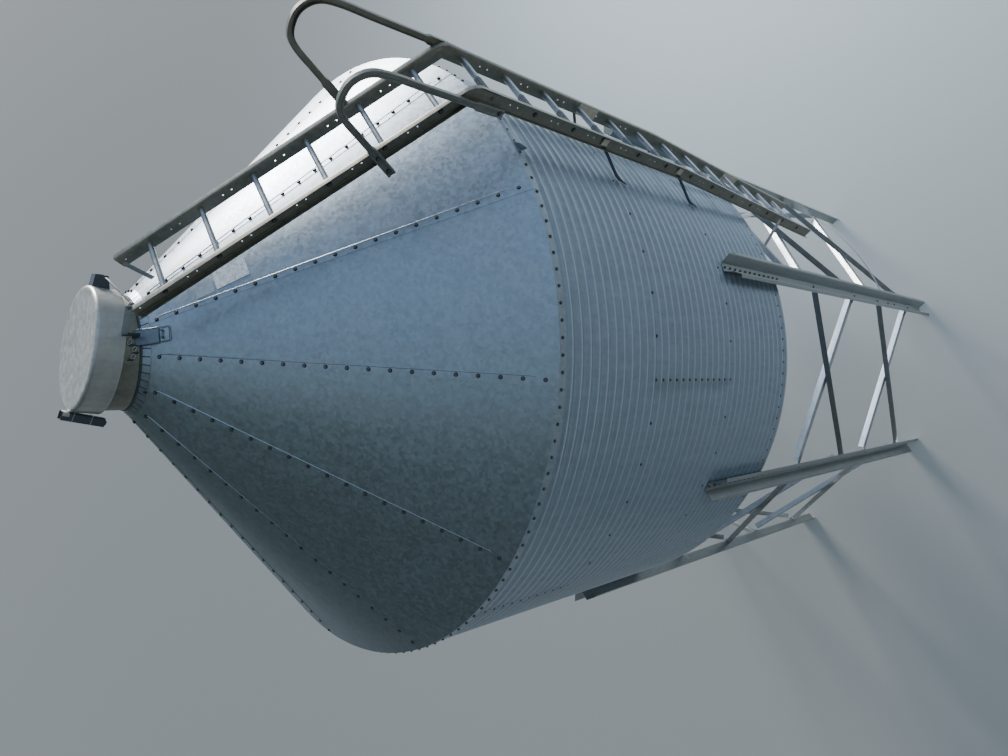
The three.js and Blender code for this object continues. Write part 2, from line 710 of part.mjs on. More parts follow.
// A curved flat bar between the two legs beside the ladder
function ringBar() {
  const z = RING_BAR_Z;
  const whole = turned([
    [WALL_R, z - RING_BAR_H / 2], [WALL_R, z + RING_BAR_H / 2],
    [WALL_R - RING_BAR_T, z + RING_BAR_H / 2], [WALL_R - RING_BAR_T, z - RING_BAR_H / 2],
  ]);
  const reach = LEG_STEP / 2 + RING_BAR_PAST_DEG;
  const bent = whole.intersect(wedge(LADDER_AZ - reach, LADDER_AZ + reach));
  place(silo, 'ladder_bay_bar', bent, BRACE_STEEL);
}

// A tie between the same legs, just under the rim, with a strut out to each rail's foot
function ladderTie() {
  const pieces = [bayBar(1, TIE_Z, TIE_Z)];
  const inside = WALL_R * Math.cos(deg(LEG_STEP / 2)) - BRACE_T / 2;
  for (const side of [-1, 1]) {
    const y = side * (RAIL_OUTER + STRUT_T / 2 + SEAT);
    const from = new THREE.Vector3(inside, y + side * STRUT_SPREAD, TIE_Z);
    const to = new THREE.Vector3(sideRailRho(TIE_Z) + RAIL_H / 8, y, TIE_Z);
    pieces.push(bar(oblong(STRUT_T, STRUT_H), from, to, new THREE.Vector3(0, 0, 1)));
  }
  place(ladder, 'ladder_tie', union(pieces), BRACE_STEEL);
}

for (let ring = 1; ring <= RING_COUNT; ring += 1) wallRing(ring);
roof();
hopper();
fillCollar();
lid();
for (let index = 0; index < LEG_COUNT; index += 1) leg(index);
for (const span of BRACE_SPANS) {
  for (let index = 0; index < LEG_COUNT; index += 1) braceCross(index, span);
}
roofLadder();
sideLadder();
hoop(-1);
hoop(1);
ringBar();
ladderTie();

// The ladder reaches further out than the bin does, so the footprint's middle lies towards it
const extent = new THREE.Box3().setFromObject(silo);
silo.position.y = -(extent.min.y + extent.max.y) / 2;

export default silo;
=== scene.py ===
import math
import random

import bmesh
import bpy
import numpy as np
from mathutils import Matrix, Vector


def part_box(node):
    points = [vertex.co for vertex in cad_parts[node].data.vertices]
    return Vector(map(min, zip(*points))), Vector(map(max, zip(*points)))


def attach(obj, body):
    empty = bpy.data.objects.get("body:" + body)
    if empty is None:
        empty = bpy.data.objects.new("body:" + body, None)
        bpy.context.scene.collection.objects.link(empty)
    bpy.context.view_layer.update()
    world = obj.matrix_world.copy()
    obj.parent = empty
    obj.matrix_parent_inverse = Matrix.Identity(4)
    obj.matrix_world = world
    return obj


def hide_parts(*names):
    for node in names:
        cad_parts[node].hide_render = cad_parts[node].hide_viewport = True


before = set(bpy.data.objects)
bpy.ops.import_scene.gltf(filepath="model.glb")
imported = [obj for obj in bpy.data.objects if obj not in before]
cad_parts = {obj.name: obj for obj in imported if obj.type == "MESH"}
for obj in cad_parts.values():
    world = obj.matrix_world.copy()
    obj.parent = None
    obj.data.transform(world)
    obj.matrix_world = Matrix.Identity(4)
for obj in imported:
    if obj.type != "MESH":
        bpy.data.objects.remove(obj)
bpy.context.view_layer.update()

deg = math.radians
MM = 0.001
UP = (0, 0, 1)
FORTH = (1, 0, 0)
ACROSS = np.array([0.0, 1.0, 0.0])
SIDES = (-1, 1)
STRUCTURE = "silo"
LID = "lid"

# Bin
EAVE_Z = 5850.0
WALL_R = 1829.0
RING_H = 812.8
RINGS = (1, 2, 3)
SHEETS = 4
SHEET_TURN = 360 / SHEETS
WAVES = 12
PITCH = RING_H / WAVES
DEPTH = 12.7
RIM_Z = EAVE_Z - len(RINGS) * RING_H
LADDER_AZ = 270.0
BOLTS_ROUND = 144
BOLT_STEP = 360 / BOLTS_ROUND

# Roof
SLOPE = deg(40)
LIP_R = 1833.5
LIP_DROP = 45.0
PANELS = 12
PANEL = 360 / PANELS
FIRST_SEAM = LADDER_AZ - PANEL / 2
RIB_FOOT_R = 1771.0
RIB_HEAD_R = 345.0

# Fill collar and lid
COLLAR_R = 292.0
COLLAR_TOP = EAVE_Z + 1465
TAB_R = 326.0
LID_R = 317.0
LID_DEPTH = 130.0
LID_TOP = EAVE_Z + 1482
HINGE_AZ = 313.0
HINGE_R = 254.0
HINGE_Z = EAVE_Z + 1315
LID_TILT = 6.5
PIN_R = 7.0
PIN_TIP = 184.0

# Hopper
HOPPER_SLOPE = deg(60)
OUTLET_R = 203.0

# Legs and braces
LEGS = 8
LEG_STEP = 360 / LEGS
LEG_AZ = LADDER_AZ + LEG_STEP / 2
LEG_TOP = EAVE_Z - 1660
LEG_WEB = 58.0
LEG_MOUTH = 124.0
LEG_DEPTH = 76.0
LEG_LIP = 28.0
LEG_SHEET = 3.2
BRACE_W = 48.0
SPANS = {"upper": (EAVE_Z - 3072, EAVE_Z - 3945), "lower": (EAVE_Z - 4529, EAVE_Z - 5425)}

# Ladder: points out from the axis and up
RAIL_H = 72.0
RAIL_INNER = 162.0
RAIL_FLANGE = 26.0
RAIL_OUTER = RAIL_INNER + RAIL_FLANGE + 2
ROOF_RAIL_HEAD = (460.0, EAVE_Z + 1380)
RAIL_KNEE = (1967.0, EAVE_Z + 321)
SIDE_RAIL_BEND = (1959.0, EAVE_Z - 1400)
SIDE_RAIL_FOOT = (1858.0, EAVE_Z - 3530)
ROOF_RUNG_FIRST = 178.0
ROOF_RUNG_PITCH = 299.0
ROOF_RUNGS = 6
SIDE_RUNG_FIRST = EAVE_Z + 205
SIDE_RUNG_PITCH = 290.0
SIDE_RUNGS = 13
# A hoop's middle line, out from the axis and up from the eave
HOOP_POINTS = [
    (1488, 520), (1540, 612), (1612, 740), (1680, 858), (1736, 903), (1826, 905),
    (1893, 852), (1916, 760), (1919, 560), (1923, 330), (1926, 120),
]
# The right hoop is fixed further out and up than the left one
RIGHT_HOOP_SHIFT = (53.0, 100.0)

outlet_low, outlet_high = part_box("outlet_collar")
AXIS_Y = (outlet_low[1] + outlet_high[1]) / 2

# Geometry helpers

ARC_STEPS = 3
TURN_STEPS = 96
FINE_STEPS = 128
WASHER_T = 2.5


class Shape:
    """Points and faces, with a material number for each face, that become one piece."""

    def __init__(self):
        self.points = []
        self.faces = []
        self.numbers = []
        self.count = 0

    def extend(self, points, faces, numbers):
        self.points.append(points)
        self.faces.extend(tuple(i + self.count for i in face) for face in faces)
        self.numbers.extend(numbers)
        self.count += len(points)
        return self

    def add(self, points, faces, number=0):
        return self.extend(np.asarray(points, float).reshape(-1, 3), faces, [number] * len(faces))

    def join(self, other, matrix=None):
        points = np.concatenate(other.points)
        if matrix is not None:
            m = np.array(matrix)
            points = points @ m[:3, :3].T + m[:3, 3]
        return self.extend(points, other.faces, other.numbers)


def polar(radius, azimuth, z):
    return np.array([radius * math.cos(deg(azimuth)), radius * math.sin(deg(azimuth)), z])


def out(azimuth):
    """The level direction away from the bin's axis."""
    return polar(1.0, azimuth, 0.0)


def steps_round(count, first):
    """Azimuths spread evenly round the bin."""
    return [first + 360 / count * k for k in range(count)]


def unit(vector):
    return np.asarray(vector, float) / np.linalg.norm(vector)


def axes(x, y, z, origin):
    """The matrix of a frame with these three directions and this origin."""
    matrix = np.eye(4)
    matrix[:3] = np.stack([x, y, z, origin], axis=1)
    return matrix


def turned(angle, axis="Z"):
    return Matrix.Rotation(deg(angle), 4, axis)


def facing_out(radius, azimuth, z=0.0):
    """A frame at a point, with +X out from the bin's axis, +Y round the bin and +Z up."""
    return Matrix.Translation(Vector(polar(radius, azimuth, z))) @ turned(azimuth)


def on_wall(radius, azimuth, z):
    """A point, and the direction away from the bin's axis there."""
    return polar(radius, azimuth, z), out(azimuth)


def on_roof(radius, azimuth, lift):
    """A point lifted off the roof, and the direction away from the roof there."""
    normal = polar(math.sin(SLOPE), azimuth, math.cos(SLOPE))
    return polar(radius, azimuth, roof_z(radius)) + lift * normal, normal


def joined(shapes, matrix=None):
    """All the shapes as one."""
    whole = Shape()
    for shape in shapes:
        whole.join(shape, matrix)
    return whole


def roof_z(radius):
    return EAVE_Z + (WALL_R - radius) * math.tan(SLOPE)


def shell(outer, inner):
    """A closed skin between two grids of points, each rows x columns x 3."""
    rows, cols = outer.shape[:2]
    n = rows * cols
    at = np.arange(n).reshape(rows, cols)
    quads = np.stack([at[:-1, :-1], at[:-1, 1:], at[1:, 1:], at[1:, :-1]], axis=-1).reshape(-1, 4)
    faces = quads.tolist() + (n + quads[:, ::-1]).tolist()
    rim = np.concatenate([at[0], at[1:, -1], at[-1, -2::-1], at[-2:0:-1, 0]]).tolist()
    faces += [(j, i, n + i, n + j) for i, j in zip(rim, rim[1:] + rim[:1])]
    return Shape().add(np.concatenate([outer.reshape(-1, 3), inner.reshape(-1, 3)]), faces)


def tube(points, n, number=0, ring=False):
    """The skin round a row of like outlines of n points, closed at its ends or into a ring."""
    count = len(points)
    last = count - n
    starts = range(0, count if ring else last, n)
    faces = [(k + i, k + (i + 1) % n, (k + n) % count + (i + 1) % n, (k + n) % count + i)
             for k in starts for i in range(n)]
    if not ring:
        faces += [tuple(reversed(range(n))), tuple(range(last, count))]
    return Shape().add(points, faces, number)


def lathe(profile, steps=TURN_STEPS, start=0.0, sweep=360.0, number=0):
    """A closed profile of radius and height points turned about the axis."""
    whole = sweep == 360.0
    points = [polar(r, start + sweep * k / steps, z)
              for k in range(steps if whole else steps + 1) for r, z in profile]
    return tube(points, len(profile), number, ring=whole)


def around(path, k):
    """The points before and after one of a path, or the point itself at an end."""
    return path[max(k - 1, 0)], path[min(k + 1, len(path) - 1)]


def basis(a, b, up):
    """Side and up directions of a run from a to b."""
    along = unit(np.subtract(b, a))
    side = unit(np.cross(up, along))
    return side, np.cross(along, side)


def run(outline, path, up, scales=None, number=0):
    """A closed outline of side and up points swept along a path, closed at both ends."""
    path = [np.asarray(p, float) for p in path]
    points = []
    for k, centre in enumerate(path):
        side, top = basis(*around(path, k), up)
        scale = scales[k] if scales else 1.0
        points += [centre + scale * (x * side + y * top) for x, y in outline]
    return tube(points, len(outline), number)


def rounded(line, radius):
    """An open line of points with each inner corner turned into an arc."""
    line = [np.array(p, float) for p in line]
    points = [line[0]]
    for before, corner, after in zip(line, line[1:], line[2:]):
        in_length, out_length = np.linalg.norm(before - corner), np.linalg.norm(after - corner)
        a, b = (before - corner) / in_length, (after - corner) / out_length
        half = math.acos(float(np.clip(a @ b, -1, 1))) / 2
        reach = min(radius / math.tan(half), 0.45 * in_length, 0.45 * out_length)
        for k in range(ARC_STEPS + 1):
            t = k / ARC_STEPS
            points.append((1 - t) ** 2 * (corner + a * reach) + 2 * t * (1 - t) * corner
                          + t ** 2 * (corner + b * reach))
    return points + [line[-1]]


def folded(line, thickness, radius=5.0):
    """The closed outline of a folded sheet whose middle follows a line of points."""
    middle = rounded(line, radius)
    left, right = [], []
    for k, p in enumerate(middle):
        before, after = around(middle, k)
        d = unit(after - before)
        normal = np.array([-d[1], d[0]]) * thickness / 2
        left.append(p + normal)
        right.append(p - normal)
    return [tuple(p) for p in left + right[::-1]]


def plate(outline, thickness, number=0):
    """A flat plate: its outline in x and y, with its middle at z = 0."""
    points = [(x, y, z) for z in (-thickness / 2, thickness / 2) for x, y in outline]
    return tube(points, len(outline), number)


def circle(radius, sides):
    turns = [2 * math.pi * k / sides for k in range(sides)]
    return [(radius * math.cos(a), radius * math.sin(a)) for a in turns]


def oblong(width, height, ease=1.0):
    """The outline of a flat bar with eased edges."""
    w, h = width / 2, height / 2
    return [(-w + ease, -h), (w - ease, -h), (w, -h + ease), (w, h - ease),
            (w - ease, h), (-w + ease, h), (-w, h - ease), (-w, -h + ease)]


def placed(centre, outward, spin):
    """A matrix that puts +Z of a template along a direction, turned by a spin."""
    z = unit(outward)
    x = unit(np.cross(UP if abs(z[2]) < 0.9 else FORTH, z))
    y = np.cross(z, x)
    c, s = math.cos(spin), math.sin(spin)
    return axes(c * x + s * y, c * y - s * x, z, centre)


def bolt_template(washer_r, head_r, head_h):
    """A washer with an eased edge and a hexagon head with a chamfer."""
    washer = [(0.01, -1), (washer_r, -1), (washer_r, WASHER_T - 1), (washer_r - 1.5, WASHER_T),
              (0.01, WASHER_T)]
    rings = [(head_r, WASHER_T - 0.5), (head_r, head_h - 1.5), (head_r * 0.84, head_h)]
    points = [(x, y, z) for r, z in rings for x, y in circle(r, 6)]
    return lathe(washer, steps=10, number=1).join(tube(points, 6))


ROOF_BOLT = bolt_template(10.5, 8.2, 7.5)
WALL_BOLT = bolt_template(8.5, 6.5, 7.0)
LEG_BOLT = bolt_template(8.5, 7.0, 8.0)
RUNG_BOLT = bolt_template(13.0, 9.5, 6.0)
dice = random.Random(5)


def bolts(name, places, template, matrix=None):
    """One piece of all the bolts at a list of places, each with its outward direction."""
    shape = Shape()
    for centre, outward in places:
        shape.join(template, placed(centre, outward, dice.uniform(0, math.pi / 3)))
    piece(name, Shape().join(shape, matrix), BOLT_LOOK)


def mesh_of(name, shape):
    """A mesh of the shape, in metres and in the frame's place."""
    mesh = bpy.data.meshes.new(name)
    points = np.concatenate(shape.points) * MM + (0, AXIS_Y, 0)
    mesh.from_pydata(points.tolist(), [], shape.faces)
    return mesh


def put(name, data):
    """A new object in the scene."""
    obj = bpy.data.objects.new(name, data)
    bpy.context.scene.collection.objects.link(obj)
    return obj


def piece(name, shape, materials, body=STRUCTURE, nodes=(), sharp=35.0, cutters=None):
    """Makes one piece of the scene out of a shape and lets it ride on its body."""
    mesh = mesh_of(name, shape)
    for material in materials:
        mesh.materials.append(material)
    mesh.polygons.foreach_set("material_index", shape.numbers)
    tidy = bmesh.new()
    tidy.from_mesh(mesh)
    bmesh.ops.recalc_face_normals(tidy, faces=tidy.faces)
    tidy.to_mesh(mesh)
    tidy.free()
    obj = put(name, mesh)
    if cutters is not None:
        cut(obj, cutters)
    obj.data.polygons.foreach_set("use_smooth", [True] * len(obj.data.polygons))
    obj.data.set_sharp_from_angle(angle=deg(sharp))
    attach(obj, body)
    if nodes:
        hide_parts(*nodes)


def cut(obj, shape):
    """Cuts a shape out of a piece."""
    cutter = put("cutter", mesh_of("cutter", shape))
    modifier = obj.modifiers.new("holes", "BOOLEAN")
    modifier.operation = "DIFFERENCE"
    modifier.solver = "EXACT"
    modifier.object = cutter
    graph = bpy.context.evaluated_depsgraph_get()
    result = bpy.data.meshes.new_from_object(obj.evaluated_get(graph))
    obj.modifiers.clear()
    obj.data = result
    bpy.data.objects.remove(cutter)


# Materials

class Tree:
    """A short way to write the nodes of a material or of the world."""

    def __init__(self, owner, shader="Principled BSDF"):
        owner.use_nodes = True
        self.tree = owner.node_tree
        self.shader = self.tree.nodes[shader]

    def add(self, kind, settings=None, **inputs):
        node = self.tree.nodes.new(kind)
        for key, value in (settings or {}).items():
            setattr(node, key, value)
        for key, value in inputs.items():
            self.join(value, node.inputs[key.replace("_", " ")])
        return node

    def join(self, value, socket):
        if isinstance(value, bpy.types.NodeSocket):
            self.tree.links.new(value, socket)
        else:
            socket.default_value = value

    def place(self, scale=(1, 1, 1)):
        coordinates = self.add("ShaderNodeTexCoord").outputs["Object"]
        return self.add("ShaderNodeMapping", Vector=coordinates, Scale=scale).outputs["Vector"]

    def noise(self, vector, scale, detail, roughness):
        return self.add("ShaderNodeTexNoise", Vector=vector, Scale=scale, Detail=detail,
                        Roughness=roughness).outputs["Fac"]

    def cells(self, vector, scale):
        node = self.add("ShaderNodeTexVoronoi", Vector=vector, Scale=scale)
        return self.add("ShaderNodeSeparateColor", Color=node.outputs["Color"]).outputs["Red"]

    def spread(self, value, low, high, to_low, to_high):
        return self.add("ShaderNodeMapRange", Value=value, From_Min=low, From_Max=high,
                        To_Min=to_low, To_Max=to_high).outputs["Result"]

    def math(self, operation, a, b):
        node = self.add("ShaderNodeMath", {"operation": operation})
        self.join(a, node.inputs[0])
        self.join(b, node.inputs[1])
        return node.outputs[0]

    def mix(self, share, a, b, blend="MIX"):
        node = self.add("ShaderNodeMix", {"data_type": "RGBA", "blend_type": blend})
        self.join(share, node.inputs[0])
        self.join(a, node.inputs[6])
        self.join(b, node.inputs[7])
        return node.outputs[2]


def rgba(color):
    return (*color, 1.0)


FINE = 0.06
DUST = (0.34, 0.30, 0.24)


def zinc(name, color, tint, rough, metallic=0.85, spangle=55.0, spangle_amount=0.10, cloud=0.14,
         streak=0.10, dust=0.0, bump=0.12):
    """Galvanised steel: spangle, cloudy patches, streaks down the slope and a film of dust."""
    material = bpy.data.materials.new(name)
    t = Tree(material)
    here = t.place()
    grain = t.cells(here, spangle)
    clouds = t.noise(here, 1.6, 5.0, 0.6)
    fine = t.noise(here, 26.0, 4.0, 0.65)
    streaks = t.noise(t.place((7.0, 7.0, 0.9)), 3.0, 4.0, 0.6)
    light = t.spread(grain, 0.0, 1.0, 1.0 - spangle_amount, 1.0 + spangle_amount)
    for value, share in ((clouds, cloud), (streaks, streak), (fine, FINE)):
        light = t.math("MULTIPLY", light, t.spread(value, 0.3, 0.7, 1.0 - share, 1.0 + share))
    base = t.mix(t.spread(clouds, 0.35, 0.65, 0.0, 1.0), rgba(color), rgba(tint))
    bright = t.add("ShaderNodeCombineColor", Red=light, Green=light, Blue=light).outputs["Color"]
    base = t.mix(1.0, base, bright, "MULTIPLY")
    if dust:
        film = t.math("MULTIPLY", t.spread(fine, 0.42, 0.7, 0.0, 1.0), dust)
        base = t.mix(film, base, rgba(DUST))
    t.join(base, t.shader.inputs["Base Color"])
    sheen = spangle_amount / 2
    roughness = t.math("ADD", t.spread(grain, 0.0, 1.0, rough - sheen, rough + sheen),
                       t.spread(clouds, 0.3, 0.7, -cloud / 3, cloud / 2))
    t.join(roughness, t.shader.inputs["Roughness"])
    t.shader.inputs["Metallic"].default_value = metallic
    height = t.math("ADD", t.math("MULTIPLY", fine, 0.35), clouds)
    relief = t.add("ShaderNodeBump", Strength=bump, Distance=0.006, Height=height)
    t.join(relief.outputs["Normal"], t.shader.inputs["Normal"])
    return material


def painted_crest_highlights(material, color):
    """Paints a thin lighter line along the top of each crest of a corrugated wall: a painted
    highlight.
    """
    t = Tree(material)
    base = t.shader.inputs["Base Color"].links[0].from_socket
    place = t.add("ShaderNodeTexCoord").outputs["Object"]
    height = t.add("ShaderNodeSeparateXYZ", Vector=place).outputs["Z"]
    turns = t.math("DIVIDE", t.math("SUBTRACT", height, EAVE_Z * MM), PITCH * MM)
    level = t.math("COSINE", t.math("MULTIPLY", turns, 2 * math.pi), 0.0)
    line = t.spread(level, -0.88, -1.0, 0.0, 0.72)
    t.join(t.mix(line, base, rgba(color)), t.shader.inputs["Base Color"])


ROOF = zinc("roof_zinc", (0.38, 0.44, 0.50), (0.34, 0.41, 0.47), rough=0.40, cloud=0.06,
            streak=0.05, bump=0.02)
# A lighter copy of the roof zinc for the ribs near the ladder: a painted highlight
HIGHLIGHT_BEAD = zinc("bead_zinc_painted_highlight", (0.66, 0.71, 0.74), (0.58, 0.64, 0.68), rough=0.34, metallic=0.7)
WALL = zinc("wall_zinc", (0.36, 0.43, 0.51), (0.32, 0.39, 0.46), rough=0.34, metallic=0.6,
            spangle=40.0, spangle_amount=0.04, cloud=0.08, streak=0.06, bump=0.03)
# A thin lighter line along each crest of the wall: a painted highlight
painted_crest_highlights(WALL, (0.66, 0.72, 0.78))
HOPPER = zinc("hopper_zinc", (0.38, 0.44, 0.50), (0.33, 0.39, 0.46), rough=0.38, cloud=0.08,
              streak=0.08, bump=0.05)
COLLAR = zinc("collar_zinc", (0.27, 0.28, 0.24), (0.22, 0.23, 0.20), rough=0.42, dust=0.1,
              bump=0.04)
LEG = zinc("leg_zinc", (0.34, 0.37, 0.37), (0.29, 0.32, 0.32), rough=0.32, spangle_amount=0.05,
           dust=0.05, bump=0.03)
BRACE = zinc("brace_zinc", (0.45, 0.47, 0.49), (0.38, 0.40, 0.43), rough=0.34,
             spangle_amount=0.05, dust=0.05, bump=0.03)
# Olive base colour under a film of dust: the olive is a painted reflection of the ground
RAIL_DUST_AND_PAINTED_REFLECTION = zinc("ladder_zinc_dust_and_painted_reflection", (0.33, 0.33, 0.29), (0.26, 0.26, 0.22), rough=0.46, dust=0.15)
RUNG = zinc("rung_zinc", (0.46, 0.48, 0.50), (0.38, 0.40, 0.42), rough=0.40, dust=0.06)
# Dark zinc for the rungs' ridges: painted shade
RIDGE_PAINTED_SHADE = zinc("rung_ridge_painted_shade_zinc", (0.20, 0.22, 0.24), (0.15, 0.17, 0.18), rough=0.45)
LID_SKIRT = zinc("lid_skirt_zinc", (0.50, 0.51, 0.50), (0.44, 0.44, 0.42), rough=0.36,
                 metallic=0.55, spangle_amount=0.04, streak=0.12, bump=0.02)
LID_ZINC = zinc("lid_zinc", (0.56, 0.56, 0.54), (0.50, 0.49, 0.46), rough=0.50, metallic=0.5,
                streak=0.18)
HOOP = zinc("hoop_zinc", (0.35, 0.35, 0.32), (0.28, 0.28, 0.25), rough=0.46, dust=0.12)
STRAP = zinc("strap_steel", (0.11, 0.13, 0.16), (0.08, 0.09, 0.11), rough=0.5, metallic=0.7)
# Paler zinc for the small plates on the rails: painted sunlight
PLATE_PAINTED_SUNLIGHT = zinc("plate_zinc_painted_sunlight", (0.78, 0.70, 0.56), (0.68, 0.61, 0.49), rough=0.5, metallic=0.3)
HASP = zinc("hasp_zinc", (0.22, 0.26, 0.30), (0.18, 0.21, 0.25), rough=0.45)
LABEL = zinc("label_film", (0.92, 0.95, 0.98), (0.86, 0.89, 0.93), rough=0.35, metallic=0.0,
             spangle=90.0, spangle_amount=0.22)
LABEL_OLD = zinc("old_label_film", (0.46, 0.53, 0.61), (0.42, 0.49, 0.56), rough=0.55,
                 metallic=0.2)
DARK = zinc("dark_steel", (0.105, 0.12, 0.15), (0.08, 0.09, 0.11), rough=0.5, metallic=0.6)
BOLT = zinc("bolt_steel", (0.18, 0.18, 0.18), (0.10, 0.10, 0.10), rough=0.42, metallic=0.7)
WASHER = zinc("washer_rubber", (0.020, 0.021, 0.023), (0.015, 0.015, 0.017), rough=0.6,
              metallic=0.0)
BOLT_LOOK = [BOLT, WASHER]


# Wall: corrugated sheets, each lapped over the next one at its end

# Below 1 the crests are narrower than the valleys
CREST_POWER = 0.8
DENT_AZ = 266.0
DENT_WIDTH = 4.5
DENT_LOW = EAVE_Z - 120.0
# How far the beaten wall lies inside the crests, and the crests inside the solid's face
FLAT_DEPTH = 9.0
WALL_INSET = 1.5


def dent(azimuth, z):
    """How far the top of the wall is beaten flat under the near rail: 1 in the middle of it."""
    across = math.exp(-((azimuth - DENT_AZ) / DENT_WIDTH) ** 2)
    return across / (1 + math.exp((DENT_LOW - z) / 22.0))


def wave(z, azimuth=0.0):
    """Radius of the corrugated wall's outside."""
    valley = (1 + math.cos(2 * math.pi * (EAVE_Z - z) / PITCH)) / 2
    depth = DEPTH * valley ** CREST_POWER
    share = dent(azimuth, z)
    return WALL_R - WALL_INSET - depth * (1 - share) - FLAT_DEPTH * share


SHEET = 1.5
LAP = 1.3
WALL_ROWS = 96
WALL_COLUMN = 2.5
SHEET_LAP_DEG = 1.3
LAP_RISE_DEG = 0.05


def first_joint(ring):
    """Azimuth of a ring's first upright joint; the middle ring is staggered by half a sheet."""
    return 45.0 if ring == 2 else 0.0


def wall_sheet(ring, number):
    """One sheet, which laps over the next one by half the lap on each side of their joint."""
    top = EAVE_Z - (ring - 1) * RING_H
    first = first_joint(ring) + SHEET_TURN * number
    last = first + SHEET_TURN
    half_lap = SHEET_LAP_DEG / 2
    azimuths = [first - half_lap, *np.arange(first, last, WALL_COLUMN)]
    azimuths.append(last - half_lap - LAP_RISE_DEG)
    offsets = [0.0] * len(azimuths)
    azimuths += [last - half_lap, last + half_lap]
    offsets += [LAP, LAP]
    heights = [top - RING_H * k / WALL_ROWS for k in range(WALL_ROWS + 1)]
    grids = [np.array([[polar(wave(z, a) + o - skin, a, z) for a, o in zip(azimuths, offsets)]
                       for z in heights]) for skin in (0.0, SHEET)]
    name = f"wall_ring{ring}_sheet{number + 1}"
    piece(f"{name}_skin", shell(*grids), [WALL], nodes=(name,), sharp=60.0)


for ring in RINGS:
    for number in range(SHEETS):
        wall_sheet(ring, number)


def wall_bolts():
    """Bolts round the ring joints, round the rim and up each sheet's lap."""
    places = []
    rows = [(EAVE_Z - joint * RING_H, BOLTS_ROUND // 3, LADDER_AZ) for joint in RINGS[:-1]]
    rows.append((RIM_Z + PITCH, BOLTS_ROUND, LADDER_AZ + BOLT_STEP / 2))
    for z, count, first in rows:
        places += [on_wall(wave(z), azimuth, z) for azimuth in steps_round(count, first)]
    for ring in RINGS:
        for number in range(SHEETS):
            azimuth = first_joint(ring) + SHEET_TURN * number
            if azimuth == LADDER_AZ:
                continue
            for k in range(1, WAVES):
                z = EAVE_Z - (ring - 1) * RING_H - PITCH * k
                places.append(on_wall(wave(z) + LAP, azimuth, z))
    return places


bolts("wall_bolts", wall_bolts(), WALL_BOLT)


# Roof: twelve panels, each with a lap rib beside its seam, and a lip over the wall's top

PANEL_STEP = 2.5
# Degrees on each side of the seam over which a panel laps the one before
PANEL_LAP = (0.9, 0.4)
PANEL_SHEET = 1.2
# How many panels from the ladder the ribs take the lighter bead zinc, as a painted highlight
PAINTED_HIGHLIGHT_PANELS = 1.6
RIB = [(14, -1), (16, 1.8), (17.5, 3.0), (18.5, 3.3), (19.5, 3.0), (21, 1.8), (23, -1)]


def roof_profile(lift, azimuth):
    """Radius and height of a panel from the collar to the lip's edge, lifted off the cone."""
    dx, dz = lift * math.sin(SLOPE), lift * math.cos(SLOPE)
    line = [(r + dx, roof_z(r) + dz) for r in (COLLAR_R + 2, 620, 1000, 1400, 1700, WALL_R - 5)]
    edge = LIP_R - PANEL_SHEET + lift
    torn = 7.0 * dent(azimuth, EAVE_Z)
    return line + [(edge - 1.2 + torn / 4, EAVE_Z - 1), (edge + torn / 2, EAVE_Z - 7),
                   (edge + torn, EAVE_Z - LIP_DROP)]


def roof_panels():
    for k, seam in enumerate(steps_round(PANELS, FIRST_SEAM)):
        azimuths = [seam - PANEL_LAP[0], seam + PANEL_LAP[1]] + [
            seam + PANEL_STEP * i for i in range(1, int(PANEL / PANEL_STEP) + 1)]
        lifts = [LAP, LAP] + [0.0] * (len(azimuths) - 2)
        grids = []
        for sheet in (PANEL_SHEET, 0.0):
            columns = [[polar(r, a, z) for r, z in roof_profile(sheet + lift, a)]
                       for a, lift in zip(azimuths, lifts)]
            grids.append(np.array(columns).transpose(1, 0, 2))
        shape = shell(*grids).join(lap_rib(seam))
        nodes = (f"roof_sector_{k // 2 + 1}",)
        piece(f"roof_panel_{k + 1}", shape, [ROOF, HIGHLIGHT_BEAD], nodes=nodes, sharp=28.0)


def lap_rib(azimuth):
    """A rounded rib down the panel beside its seam, flattened at both ends; near the ladder it
    takes the lighter bead zinc as a painted highlight.
    """
    stations = {RIB_HEAD_R: 0.2, RIB_HEAD_R + 25: 1.0, RIB_FOOT_R - 30: 1.0, RIB_FOOT_R: 0.25}
    path = [polar(r, azimuth, roof_z(r) + PANEL_SHEET) for r in stations]
    bright = abs(azimuth - LADDER_AZ) < PAINTED_HIGHLIGHT_PANELS * PANEL
    return run(RIB, path, UP, scales=list(stations.values()), number=1 if bright else 0)


RIB_BOLT_FIRST = 356.0
RIB_BOLT_PITCH = 79.4
RIB_BOLT_COUNT = 19
RIB_BOLT_SIDE = 3.0
RIB_BOLT_LIFT = 2.6
EAVE_BOLT_DROP = 22.0
# The torn corner of the lip: how far out of it each point is, its azimuth, and its drop
TORN_TAB = ((2, 263.4, 12), (24, 262.4, 30), (30, 261.4, 52), (3, 261.2, 18), (-1, 262.2, 44))
TORN_TAB_AZ = 262.2


def beside(azimuth, offset, radius):
    """The azimuth that lies an offset in millimetres to one side at a radius."""
    return azimuth + math.degrees(offset / radius)


def roof_bolts():
    places = []
    for seam in steps_round(PANELS, FIRST_SEAM):
        for i in range(RIB_BOLT_COUNT):
            radius = RIB_BOLT_FIRST + RIB_BOLT_PITCH * i
            places.append(on_roof(radius, beside(seam, RIB_BOLT_SIDE, radius), RIB_BOLT_LIFT))
    return places


def eave_bolts():
    return [on_wall(LIP_R, azimuth, EAVE_Z - EAVE_BOLT_DROP)
            for azimuth in steps_round(BOLTS_ROUND, LADDER_AZ + BOLT_STEP / 2)]


def cone_frame(radius, azimuth, lift):
    """A frame on the roof with +X down the slope, +Y round the bin and +Z off the roof."""
    down = polar(math.cos(SLOPE), azimuth, -math.sin(SLOPE))
    origin, normal = on_roof(radius, azimuth, lift)
    return axes(down, np.cross(normal, down), normal, origin)


